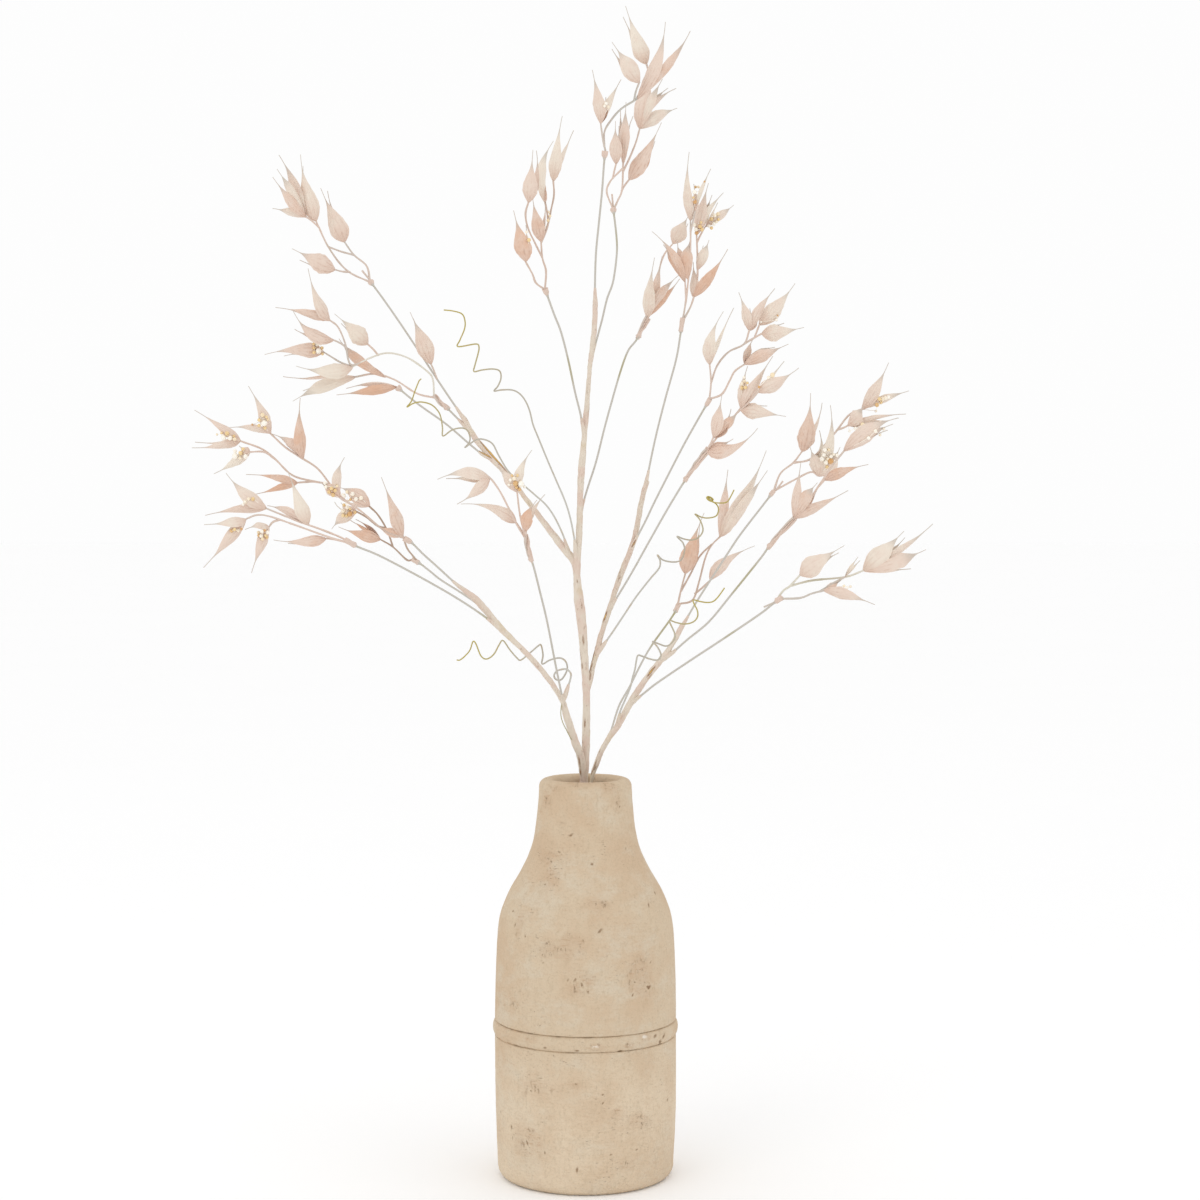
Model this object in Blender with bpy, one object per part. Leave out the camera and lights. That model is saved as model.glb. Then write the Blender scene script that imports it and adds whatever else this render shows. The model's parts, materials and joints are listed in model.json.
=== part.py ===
"""Vase of twigs: an artificial oat-grass spray standing in a plaster bottle vase.

Metres, +Z up.  The vase's axis is the Z axis and its foot stands on z = 0; the side that the
photograph shows faces -Y.  The vase is a turned solid.  The spray is a paper-wrapped branch
with four arms; each sprig of husks is a wire of its own that stands in a socket of the branch,
and so is each curly tendril.
"""

import math
from collections import namedtuple

import bmesh
import bpy
import numpy as np

# Vase, from its foot up
VASE_HEIGHT = 0.280
FOOT_RADIUS = 0.055
FOOT_ROUND = 0.0075
BODY_RADIUS = 0.0637
RING_LOW = 0.100
RING_HIGH = 0.1106
RING_RADIUS = 0.0651
SHOULDER = ((0.130, 0.0633), (0.160, 0.0624), (0.175, 0.0613), (0.187, 0.0590), (0.201, 0.0533),
            (0.215, 0.0453), (0.229, 0.0389), (0.243, 0.0354), (0.263, 0.0332))
LIP_RADIUS = 0.0058
MOUTH_RADIUS = 0.021
FLOOR_THICKNESS = 0.009
WALL = 0.0065
VASE_SIDES = 30

# Spray
WIRE_RADIUS = 0.00075
STALK_RADIUS = 0.0008
TENDRIL_RADIUS = 0.00072
WRAP_RADIUS = 0.0019
SLEEVE_RADIUS = 0.0018
SLEEVE_LENGTH = 0.009
SOCKET_START = 0.003
GAP = 0.0003
STEM_SIDES = 6
SLEEVE_SIDES = 5
WIRE_SIDES = 4
STALK_SIDES = 3
BEAD_RADIUS = 0.0017
BEAD_REACH = 0.010
BEAD_TURN = 2.2
ROOT_DEPTH = 0.001
ROOT_HALF_WIDTH = 0.0012
AWN_HALF_WIDTH = 0.0004
THINNEST = 0.0006
SHORT_EDGE = 0.0006
CUP = 0.42
BLADES_APART = 0.010
TURN_TO_VIEWER = 0.8

# Rows of one husk blade: share of the way from root to belly, share of the way from belly to
# tip, and share of the width at the belly
BLADE_ROWS = ((0.0, 0.0, 0.0), (0.7, 0.0, 1.0), (1.0, 0.2, 0.86), (1.0, 0.55, 0.25), (1.0, 1.0, 0.01))
BLADE_BULGE = 0.07

# The photograph's eye: picture points are (column, row) in its 1200 x 1200 frame
PICTURE_MIDDLE = 600.0
FOCAL_PIXELS = 2500.0
EYE = np.array((0.0102, -1.742, 0.496))
PITCH = math.radians(3.0)
LOOK = np.array((0.0, math.cos(PITCH), -math.sin(PITCH)))
RIGHT = np.array((1.0, 0.0, 0.0))
UP = np.array((0.0, math.sin(PITCH), math.cos(PITCH)))
TO_VIEWER = np.array((0.0, -1.0, 0.0))
MM = 0.001

# The branch.  Each point is column, row and width in pixels; depth is how many millimetres
# the arm stands behind (+) or before (-) the vase's axis at its start and end, where None
# takes the start from the arm that it grows out of.
Arm = namedtuple("Arm", "parent points depths")
TRUNK_FOOT = ((-0.006, -0.014, FLOOR_THICKNESS + 0.00063, 0.0030), (-0.004, 0.0005, 0.135, 0.0030),
              (-0.002, 0.0145, 0.250, 0.0031))
ARMS = {
    "trunk": Arm(None, [
        (584, 778, 9), (585.6, 755, 8.6), (586.3, 720, 7.8), (586.3, 690, 7.8), (583.5, 645, 8.6),
        (581.5, 620, 9.6), (579, 600, 10), (577.3, 582, 7.6), (577, 565, 7.2), (579.3, 530, 6.8),
        (580, 500, 6.4), (581.5, 470, 7), (584, 440, 5.8), (587.3, 400, 5.2), (590.5, 360, 5),
        (594.2, 330, 5.6), (595.4, 302, 5)], (17.8, 26, 12)),
    "left_arm": Arm("trunk", [
        (584.5, 785, 7), (580.5, 756, 8.5), (574, 739, 8), (565, 710, 6.6), (562.6, 701, 5.6),
        (550, 681, 5.2), (529.5, 656.5, 5.2), (501, 628.5, 6.2), (478.5, 602, 7), (464, 590, 5.2)],
        (None, -10)),
    "upper_left_arm": Arm("trunk", [
        (577, 580, 6), (574.5, 562, 8), (564, 548.6, 8), (545, 524, 6.2), (526, 499, 5.4),
        (509, 477, 5.4), (491, 457, 6.6), (475, 438, 6.2), (463.8, 418, 5.2)], (None, 60)),
    "upper_right_arm": Arm("trunk", [
        (586.5, 692, 6), (590, 681, 6), (592.5, 668, 5.2), (597, 651, 5.8), (602, 632, 5.2),
        (611, 604, 5.2), (621, 574, 5.6), (634, 540, 5.6), (642, 499, 6), (647, 481, 5.2)],
        (None, 45)),
    "right_arm": Arm("trunk", [
        (585.5, 815, 4), (589.5, 793, 4), (592.7, 775, 4.6), (596.5, 764, 5.4), (601.6, 751, 5.2),
        (609, 738, 6), (618, 725.5, 6.4), (632, 700, 6.6), (649, 675, 6), (666, 653.5, 5.6),
        (675, 639.5, 5.2), (683, 624, 5.2)], (None, -10)),
}

# The sprigs.  wire runs from its socket in the arm to the sprig's node, where depth is
# reached; wrap is the length of paper at the node, in pixels.  Each stalk is the offset in
# depth of its end, in millimetres, and its points, from where it grows to the husk.
# A husk is its base, its two blades, how far their tips stand behind its base, in
# millimetres, and its beads.  A blade is its tip, the middle of its widest part and its
# width there, as column, row, column, row and width in pixels.
Sprig = namedtuple("Sprig", "arm depth wrap wire stalks husks")
Husk = namedtuple("Husk", "base blades lean beads", defaults=(0,))
SPRIGS = {
    "sprig_left_low": Sprig("left_arm", -60, 14, [
        (504, 631), (481, 614), (455, 597), (420, 577), (380, 556), (357, 546.5), (345, 540)], [
        (8, [(350, 543), (340, 537), (320, 529), (300, 522), (280, 514), (266.5, 508.5)]),
        (-8, [(352, 543.5), (330, 537.5), (295, 525), (270, 516.5), (257, 515), (246, 519)]),
        (-4, [(280, 519), (273, 522), (269, 527)]),
        (2, [(345, 541), (335, 539.5), (326, 538.5)]),
        ], [
        Husk((266.5, 508.5), [(226, 474, 246, 497, 10), (205.5, 516, 243, 508, 9)], 6, 2),
        Husk((309, 522), [(288.5, 474, 300.5, 508, 11), (268.5, 507.5, 285.5, 513, 8)], 12),
        Husk((246, 519), [(206, 524.5, 233, 522, 9), (204, 567.5, 231, 537, 10)], -8, 2),
        Husk((269, 527), [(245.5, 528.5, 257, 525.5, 8), (251.5, 572.5, 262, 542, 12)], -12, 2),
        Husk((326, 538.5), [(273.5, 540, 313, 540, 9), (298, 545, 314, 543, 9)], 4)]),
    "sprig_left_mid": Sprig("left_arm", -22, 10, [
        (467, 592), (455, 583), (443, 572), (432, 562), (422, 553), (412, 543), (404, 538)], [
        (-4, [(404, 538), (385, 531), (362, 512), (345, 500), (330, 484)]),
        (-14, [(330, 484), (317, 468), (300, 457), (285, 447), (270.5, 433.5)]),
        (10, [(330, 484), (312, 481), (292, 475), (275, 459), (262, 449), (240.5, 441)]),
        (4, [(275, 459), (264, 452), (249.5, 452)]),
        (14, [(315, 482), (306, 482), (297.5, 482.7)]),
        (-12, [(347, 502), (343, 500), (339, 497)]),
        ], [
        Husk((240.5, 441), [(194.5, 410.5, 225, 429, 9), (193, 448.5, 225, 444, 9)], 6, 2),
        Husk((249.5, 452), [(233, 450, 240, 452, 7), (214, 474, 238, 462, 9)], 8, 2),
        Husk((270.5, 433.5), [(248.5, 386, 262.5, 418.5, 9), (232, 428, 255, 427.5, 9)], -8, 3),
        Husk((305, 457.5), [(300.5, 398, 300.5, 438, 10), (273, 435, 291.5, 444, 8)], -10),
        Husk((297.5, 482.7), [(246.5, 474.5, 285.5, 479, 7), (254, 494, 283, 486.5, 9)], 12),
        Husk((339, 497), [(344.5, 458, 337, 475, 9), (319, 482.5, 330, 490, 13)], -8, 2)]),
    "sprig_left_inner": Sprig("left_arm", 32, 10, [
        (497, 624), (484, 609), (463, 594), (441, 580), (431, 572), (422, 565), (413, 559)], [
        (8, [(413, 559), (407, 560), (393, 547), (380.5, 539.5)]),
        (-8, [(418, 562), (413, 556), (407, 548), (403, 536)]),
        (0, [(393, 547), (387, 530), (378, 515), (369.5, 506.5)]),
        (12, [(386, 528), (378, 526), (366, 517), (356.5, 511.5)]),
        ], [
        Husk((369.5, 506.5), [(337.5, 488, 356, 494.5, 12), (345.5, 509.5, 356, 503, 12)], 6, 2),
        Husk((356.5, 511.5), [(331.5, 530.5, 345.5, 517, 10), (341, 504, 349, 507, 8)], 10, 2),
        Husk((380.5, 539.5), [(338.5, 527.5, 367, 535, 11), (351.5, 519, 367, 531, 11)], 10),
        Husk((403, 536), [(381.5, 477, 396, 519, 11), (374, 524.5, 390, 532, 9)], -8)]),
    "sprig_left_upper": Sprig("upper_left_arm", 70, 14, [
        (473, 434), (464, 425), (456, 417), (448, 409), (434, 396)], [
        (-6, [(434, 396), (433, 380), (428, 372), (408, 358), (388, 353), (370, 358), (352, 367)]),
        (6, [(436, 398), (417, 393.5), (395, 380), (375, 374), (355, 377)]),
        (-14, [(360, 362), (350, 364), (345, 343), (338, 327), (329.5, 320)]),
        (-4, [(352, 366), (340, 362), (330, 356), (323.5, 352)]),
        (-10, [(346, 347), (340, 343), (333.5, 340)]),
        (-2, [(378, 354), (373, 349), (367.5, 344)]),
        ], [
        Husk((329.5, 320), [(308, 268.5, 320, 304, 11), (275.5, 307.5, 312, 315.5, 11)], -8),
        Husk((333.5, 340), [(293, 310.5, 311, 331, 9), (294.5, 329, 314, 336, 12)], -4),
        Husk((323.5, 352), [(265.5, 354.5, 308, 351, 11), (286, 344, 309, 346, 9)], 6, 2),
        Husk((367.5, 344), [(334.5, 314, 357, 332, 14), (339, 319, 356, 333, 12)], -6),
        Husk((353, 367), [(296, 366, 330, 369.5, 13), (283.5, 377, 322, 377, 11)], -8),
        Husk((355, 377), [(293.5, 400.5, 321, 386, 11), (308, 386, 330, 381, 12)], 8),
        Husk((386, 376), [(345.5, 344, 361, 361, 9), (347, 367, 366, 371, 9)], 10)]),
    "sprig_left_single": Sprig("upper_left_arm", 46, 6, [
        (494, 461), (482, 454), (470, 444.5), (446, 424), (418, 404), (397, 387)], [
        ], [
        Husk((397, 387), [(336.5, 395, 370, 388, 13), (344, 388, 371, 385, 11)], -6)]),
    "sprig_left_top": Sprig("upper_left_arm", 105, 6, [
        (465, 421), (449, 397), (435, 376), (418, 350), (400, 323), (384, 300), (370, 281)], [
        (-6, [(371, 283), (347, 270.5), (329, 248), (316, 221)]),
        (8, [(370, 281), (366.6, 266), (354, 255), (344.5, 242)]),
        (-4, [(354, 255), (341, 251.5), (329, 247)]),
        (-12, [(350, 272), (342, 271.5), (334.5, 269.5)]),
        (0, [(369, 280), (362, 270.5)]),
        (-10, [(319, 228), (312, 221), (306, 217)]),
        (-34, [(437, 379), (434.5, 372), (431, 364)]),
        ], [
        Husk((316, 221), [(300.5, 155, 309.5, 200, 14), (278, 156, 295, 184, 13)], 6),
        Husk((306, 217), [(273.5, 178, 294, 201, 10), (273.5, 208.5, 293, 213.5, 9)], -8),
        Husk((344.5, 242), [(321, 188, 337.5, 225, 15), (328, 192, 338.5, 226, 12)], 8),
        Husk((334.5, 269.5), [(292.5, 248.5, 321, 262, 14), (299.5, 260.5, 321, 267, 13)], -6),
        Husk((431, 364), [(410, 312, 424, 345, 15), (413, 318, 425, 346, 11)], -8)]),
    "sprig_front": Sprig("left_arm", -85, 22, [
        (565, 708), (556, 667), (547, 621), (540, 592), (534, 568), (530, 556), (525, 535)], [
        (-8, [(526, 540), (515, 521), (502, 495), (492, 480), (484.5, 473.5)]),
        (2, [(525, 536), (520, 515), (517, 491)]),
        (6, [(526, 538), (520, 528), (515, 521)]),
        (-4, [(526, 538), (526, 531)]),
        ], [
        Husk((484.5, 473.5), [(437.5, 479, 466, 471.5, 12), (457, 504, 480, 489, 12)], -6),
        Husk((515, 521), [(465, 503.5, 502, 514, 10), (479, 509, 503, 517, 8)], 8),
        Husk((517, 491), [(532, 450.5, 520.5, 474, 9), (498, 467, 510, 481, 9)], 4, 3),
        Husk((526, 531), [(545, 495.5, 529, 517, 10), (537, 501, 532, 517, 8)], -8)]),
    "sprig_crown_left": Sprig("trunk", -35, 8, [
        (584.7, 434), (580, 412), (575, 392), (568, 359), (561, 332), (554, 314), (545, 289)], [
        (-6, [(545, 290), (536, 283), (532.4, 274), (525.5, 261.5)]),
        (8, [(545, 289), (546, 271), (542.4, 258), (541, 241)]),
        (-10, [(542.4, 258), (535, 243), (528, 228), (525.5, 214), (528.5, 202)]),
        (14, [(542, 243), (547, 228), (551, 210), (554, 195), (553.3, 181)]),
        (4, [(548.5, 222), (547, 212), (545.2, 202.5)]),
        ], [
        Husk((525.5, 261.5), [(513.5, 211, 520.5, 243, 14), (527.5, 226, 526, 245, 11)], -6),
        Husk((541, 241), [(532.5, 202, 538.5, 228, 12), (546, 205, 542, 228, 10)], 6),
        Husk((528.5, 202), [(532.5, 151, 530, 187, 14), (537, 152, 532, 186, 11)], -8),
        Husk((545.2, 202.5), [(553.3, 142, 542.5, 168, 8), (540, 176, 544, 189, 10)], 4, 2),
        Husk((553.3, 181), [(562, 117, 554.5, 163, 11), (573.6, 131, 561, 160, 9)], 10)]),
    "sprig_crown_mid": Sprig("trunk", -5, 8, [
        (595.4, 306), (595, 284), (596, 253), (599, 222), (602, 192), (604, 164), (605.5, 151)], [
        (-4, [(605.5, 151), (603, 140), (600.6, 123)]),
        (6, [(604, 146), (604.4, 132), (610.5, 121), (621, 109), (637, 99)]),
        (12, [(636, 100), (641, 90), (645, 80), (648, 72), (646.5, 64)]),
        (-6, [(634, 101), (636, 91), (639.5, 82)]),
        ], [
        Husk((600.6, 123), [(592.5, 70.5, 598, 104, 12), (620.5, 80, 608.5, 104, 10)], -6, 2),
        Husk((646.5, 64), [(626, 7.5, 639.5, 47.5, 13), (624, 17, 639, 46, 11)], 8),
        Husk((639.5, 82), [(613, 43, 628.5, 66.5, 13), (614, 50, 628, 68, 11)], -8),
        Husk((637, 99), [(665.5, 23, 654, 66, 12), (689.5, 32.5, 672, 63, 12)], 6)]),
    "sprig_crown_right": Sprig("trunk", 50, 6, [
        (591, 360), (596, 342), (602, 320), (607, 299), (613, 282), (616.6, 256), (616.6, 238),
        (613.2, 208)], [
        (-6, [(613.2, 210), (606.7, 192), (610.5, 181), (617, 174), (623, 168)]),
        (6, [(613.2, 210), (618, 200), (622, 190), (623, 168), (623.5, 148)]),
        (-2, [(613, 179), (614, 172), (616, 164)]),
        (10, [(621, 191), (625, 185), (629.2, 179.5)]),
        (12, [(623, 172), (629.6, 158), (636, 142), (639.7, 128.5)]),
        (0, [(613.2, 208), (612, 194)]),
        ], [
        Husk((639.7, 128.5), [(647, 90, 641.5, 111, 15), (678, 108.5, 659, 117, 11)], 8),
        Husk((640, 126), [(662, 81, 651, 101, 10), (675.5, 89, 658, 104, 9)], -8),
        Husk((616, 164), [(615.5, 121.5, 616, 146, 11), (619, 126, 617, 146, 9)], -6),
        Husk((629.2, 179.5), [(661.4, 123, 641.5, 162, 13), (655, 141, 643, 164, 10)], 6),
        Husk((623.5, 148), [(624, 107, 624.5, 127, 8), (633, 118, 626.5, 130, 8)], 0)]),
    "sprig_upper_right_back": Sprig("trunk", 85, 26, [
        (580.3, 515), (587, 490), (596, 462), (604, 430), (610.5, 406), (620, 373), (628, 351),
        (637, 339), (647.5, 318)], [
        (8, [(647, 318), (657, 300), (659, 272), (664, 255), (673, 243.5)]),
        ], [
        Husk((647.5, 318), [(654.4, 258, 648.8, 288, 10), (683, 275, 663, 295, 12)], -6),
        Husk((648, 316), [(657, 272, 652.5, 291, 10), (672, 279, 658, 297, 10)], 8),
        Husk((673, 243.5), [(689.3, 215.5, 680, 233, 13), (688, 224, 680, 235, 10)], 6)]),
    "sprig_upper_right": Sprig("upper_right_arm", 58, 16, [
        (645.5, 488), (655, 440), (665, 400), (676, 360), (680.5, 334), (683, 318)], [
        (-6, [(682.5, 322), (686, 300), (689, 272), (690.5, 245), (690.5, 220.5)]),
        (6, [(682.5, 322), (692, 303), (697, 280), (697.5, 260), (696.6, 235)]),
        (-2, [(686, 299), (685, 282)]),
        (-10, [(690.5, 232), (693, 221), (695, 211)]),
        (12, [(697, 243), (700, 236), (705, 227)]),
        ], [
        Husk((685, 282), [(652.5, 232.5, 672, 257.5, 8), (667, 251, 676, 262, 12)], -8),
        Husk((686, 279), [(692, 246, 685, 259, 11), (675, 245, 679, 258, 10)], 4),
        Husk((690.5, 220.5), [(689.3, 153, 688, 197, 9), (705, 188, 697, 204, 10)], -6),
        Husk((695, 211), [(710.5, 172, 702, 194, 6), (693.5, 184, 695, 197, 8)], -4, 3),
        Husk((696.6, 235), [(708.6, 186.5, 701, 212, 10), (722, 197, 710, 211, 9)], 6),
        Husk((705, 227), [(733.5, 207, 718, 218.5, 7), (726, 202, 715, 213, 7)], 10, 3),
        Husk((697.4, 270), [(707.5, 241, 702.5, 254, 8), (703, 246, 699, 257, 7)], 8),
        Husk((695, 297), [(727.5, 249.4, 708.5, 280, 11), (693.5, 264, 694.2, 281, 11)], 6)]),
    "sprig_right_upper": Sprig("upper_right_arm", -15, 10, [
        (632, 550), (645, 522), (656, 499), (680, 452), (692, 430), (704, 409), (710, 399)], [
        (-4, [(709, 400), (711, 382), (709.6, 364)]),
        (6, [(711, 384), (717, 366), (728.5, 352), (744, 344), (749.4, 330)]),
        (10, [(744, 344), (754, 338), (762, 333.5)]),
        (-6, [(709, 399), (722, 394), (730, 380), (735, 371), (745, 364)]),
        (14, [(754, 337), (757, 331), (759.5, 324.5)]),
        ], [
        Husk((709.6, 364), [(723.2, 312.5, 709.5, 342, 10), (733.2, 313.5, 721, 342, 9)], -6),
        Husk((749.4, 330), [(739.5, 293.5, 745.5, 318.5, 8), (774.8, 289, 761, 311, 9)], 6),
        Husk((759.5, 324.5), [(793.8, 284, 775, 313, 11), (778, 307, 769, 316, 8)], 8),
        Husk((762, 333.5), [(803, 327, 776, 334, 14), (783, 323, 773, 328, 8)], 6, 2),
        Husk((745, 364), [(788.3, 344.5, 761.5, 357, 10), (757, 338, 748.5, 351, 9)], -8)]),
    "sprig_right_mid": Sprig("upper_right_arm", -55, 36, [
        (609, 611), (631, 574), (650, 540), (667, 510), (684, 482), (696, 465), (708, 449)], [
        (-4, [(707, 451), (711, 443), (713.5, 437)]),
        (4, [(707, 451), (722, 431), (732, 419), (740.5, 408.5)]),
        (-8, [(737, 413), (749, 402), (758.5, 391.5)]),
        ], [
        Husk((740.5, 408.5), [(773, 356.5, 752.5, 392, 12), (747.5, 366, 742.5, 387, 11)], -4, 3),
        Husk((758.5, 391.5), [(798.5, 369.5, 772.5, 385, 13), (783, 362, 771, 377, 7)], -8, 2),
        Husk((741, 409), [(785, 416, 756, 410, 12), (777, 408, 758, 407, 9)], 8),
        Husk((713.5, 437), [(721.4, 395, 717, 423, 11), (738, 412, 727.5, 424.5, 11)], -6),
        Husk((708.4, 450.5), [(758, 429, 727, 449, 11), (732, 440, 720, 448, 9)], 6)]),
    "sprig_right_outer": Sprig("right_arm", 15, 8, [
        (679, 632), (694, 606), (704, 590), (726, 556), (740, 535), (760, 509), (774, 491)], [
        (8, [(774, 492), (780.4, 473.5), (793, 463), (802, 451.5)]),
        (0, [(774, 491), (796, 479), (811, 472), (818, 476)]),
        (-6, [(793, 463), (812, 458), (834, 434), (849, 415), (862.5, 409)]),
        (-10, [(838, 430), (843, 428), (848, 425.5)]),
        (0, [(776, 489), (783, 481)]),
        ], [
        Husk((802, 451.5), [(810, 394, 804.5, 432, 13), (822.7, 404, 814, 428, 9)], 8),
        Husk((818, 476), [(830.7, 406.5, 826, 451, 9), (813, 438, 815, 460, 13)], -4, 3),
        Husk((862.5, 409), [(888.5, 364, 874.5, 394, 11), (917, 388.5, 890, 401, 8)], -6, 3),
        Husk((848, 425.5), [(865, 408.5, 856, 416.5, 11), (888, 409, 866, 421, 6)], -4, 2)]),
    "sprig_right_pink": Sprig("right_arm", -40, 34, [
        (660, 660), (672, 653), (687.5, 639.5), (709, 621.6), (731, 595), (760, 559), (768, 548),
        (780, 534), (794.5, 517.5)], [
        (-4, [(794, 519), (808, 502), (820, 484), (832, 466), (844, 451)]),
        (6, [(818, 488), (824.5, 480)]),
        ], [
        Husk((844, 451), [(905, 415, 866, 429, 13), (895, 421.5, 863, 437, 11)], -6, 2),
        Husk((845, 450), [(891, 409.5, 862, 425, 11), (882, 420, 861, 432, 11)], 6),
        Husk((824.5, 480), [(868, 465, 836, 474, 10), (855, 466, 838, 471, 7)], 6),
        Husk((794.5, 518), [(800.5, 467, 797, 496, 8), (847.5, 490.5, 817, 508.5, 10)], 4),
        Husk((795.5, 516), [(816, 486, 803.5, 501, 12), (824, 480, 809, 501, 8)], -6)]),
    "sprig_right_low": Sprig("right_arm", -85, 10, [
        (629, 705), (643, 694), (657, 683), (688, 662), (726, 637), (760, 614), (774, 603),
        (782, 598)], [
        (-4, [(775, 602), (783, 591), (790, 586), (800, 575)]),
        (4, [(790, 586), (812, 580.5), (845, 577), (863.5, 570.5)]),
        (-6, [(781, 599), (800, 598), (812, 593.5), (824, 590.5)]),
        (0, [(775, 602), (764, 607)]),
        (-8, [(820, 592), (832, 584), (845, 577)]),
        ], [
        Husk((800, 575), [(844.5, 546, 815, 566, 16), (839, 553, 815, 568, 12)], -8),
        Husk((863.5, 570.5), [(904, 531.5, 877.5, 556, 15), (932.5, 525, 893, 551, 12)], 4),
        Husk((864.5, 570.5), [(925, 550, 896, 562, 13), (911.5, 571, 890, 570, 9)], -6),
        Husk((824, 590.5), [(874, 604, 845, 595, 12), (848, 583, 837, 588, 8)], -6, 2),
        Husk((845, 577), [(857.5, 558, 851, 567, 4), (860, 561, 853, 568, 4)], 0)]),
    "sprig_right_inner": Sprig("right_arm", 75, 12, [
        (604, 746), (611, 731), (619, 706), (630, 686), (641, 664), (652, 645), (672, 617),
        (679, 604)], [
        (8, [(679, 604), (692.6, 600), (699, 582), (705, 559), (711, 546), (720.7, 536)]),
        (-6, [(677, 607), (681, 590), (685.3, 573.5)]),
        (-10, [(695, 594), (702, 588), (710.5, 580)]),
        (0, [(681, 592), (691, 573), (700, 556), (712, 544)]),
        ], [
        Husk((720.7, 536), [(766.5, 452, 737.5, 508, 15), (727.5, 470.5, 723.5, 504, 13)], 6),
        Husk((721.5, 534), [(767.5, 470.5, 744, 502, 9), (737, 488, 729, 508, 8)], -8),
        Husk((685.3, 573.5), [(700.5, 522, 689.5, 558.5, 14), (698, 526, 690.5, 558, 11)], -6),
        Husk((710.5, 580), [(755, 546.5, 722, 563, 12), (739, 553, 723, 567, 10)], -8)]),
}

# The curly tendrils: from the socket to the free tip, with the places, counted from 0, where
# the curl turns back on itself.  Each is a corkscrew seen from the side.
Tendril = namedtuple("Tendril", "arm depth cusps points")
TENDRILS = {
    "tendril_top_left": Tendril("trunk", 6, (9, 13, 17), [
        (576, 562), (575.5, 548), (574, 538), (570.5, 519), (565, 501), (547, 459), (533, 424.5),
        (528, 406), (512, 389), (494, 392), (501, 378), (499.6, 371), (492.6, 369), (474, 371.5),
        (478, 354), (479, 346), (475.8, 344), (458, 346.6), (460, 340), (464.5, 329), (465, 321),
        (462, 314), (453, 311), (444, 310)]),
    "tendril_mid_left": Tendril("upper_left_arm", 26, (8, 12, 17, 21), [
        (573, 560), (568, 550), (563, 535), (546, 505), (524.6, 486), (509, 472), (492.6, 444),
        (484, 439.5), (475.8, 440), (469, 444), (464.5, 448), (470, 441), (466, 430), (460, 428),
        (452, 430), (443.5, 436), (442, 419), (438, 410.5), (431, 403.5), (421, 402), (407, 407),
        (412, 399), (419, 381)]),
    "tendril_low_left": Tendril("left_arm", 26, (6, 11, 15, 22), [
        (562, 701), (566, 693), (571, 676), (570, 672), (564, 668.6), (557.6, 670), (554, 676),
        (557.6, 681), (564, 677), (567, 669), (565, 661.6), (559, 658), (550, 659), (542, 664),
        (543, 654), (542, 646), (538, 646), (527, 655), (521, 660), (517, 658), (509, 648),
        (503, 640.6), (500, 642.5), (494, 654), (488, 659), (481, 654), (476, 642.5), (473, 642),
        (468, 651), (462, 659), (457, 660)]),
    "tendril_upper_right": Tendril("upper_right_arm", 22, (6, 12, 16, 20), [
        (596, 655), (602, 647), (615, 628), (636.5, 597), (652, 577.5), (660, 567), (657.5, 555),
        (670, 563), (681, 561), (685, 551), (682.8, 541), (677, 536), (691, 540), (699.6, 537),
        (704, 528), (701, 520), (695, 514), (706.6, 518), (716.5, 516), (718.6, 507), (711, 499),
        (707, 497.5), (717, 503), (727.7, 502), (734, 490)]),
    "tendril_right": Tendril("right_arm", -36, (5, 9, 14, 19), [
        (617, 727), (620, 712), (630, 685), (634, 672), (636.3, 661), (638, 655.4), (643, 657),
        (657.6, 660), (661, 655), (654, 645), (652.6, 641), (667, 646), (676, 636), (670, 623.8),
        (669.5, 621), (683, 623), (691, 622), (697, 618), (697.5, 607), (694, 601), (707, 603),
        (718, 597), (725, 588)]),
}
TENDRIL_WAVE = 0.004
TENDRIL_REACH = 0.28

PLASTER = ("plaster", (0.63, 0.50, 0.35, 1.0), 0.95)
PAPER = ("wrapping paper", (0.56, 0.42, 0.32, 1.0), 0.85)
HUSK_PAPER = ("husk paper", (0.72, 0.52, 0.41, 1.0), 0.8)
OLIVE_WIRE = ("olive wire", (0.30, 0.26, 0.14, 1.0), 0.5)


def unit(vector):
    """The vector at length 1."""
    return vector / np.linalg.norm(vector)


def seen(column, row, depth):
    """The point at y = depth on the ray through a picture point."""
    ray = LOOK * FOCAL_PIXELS + RIGHT * (column - PICTURE_MIDDLE) + UP * (PICTURE_MIDDLE - row)
    return EYE + ray * ((depth - EYE[1]) / ray[1])


def shown(points):
    """The picture points where 3-D points appear."""
    away = np.asarray(points) - EYE
    scale = FOCAL_PIXELS / (away @ LOOK)
    return np.stack((PICTURE_MIDDLE + away @ RIGHT * scale, PICTURE_MIDDLE - away @ UP * scale), axis=1)


def pixel_size(depth):
    """The width of one pixel at a depth."""
    return (depth - EYE[1]) / FOCAL_PIXELS


def shares(points):
    """How far along a line each of its points lies, from 0 to 1."""
    steps = np.linalg.norm(np.diff(np.asarray(points, float), axis=0), axis=1)
    along = np.concatenate(([0.0], np.cumsum(steps)))
    return along / along[-1]


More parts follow.
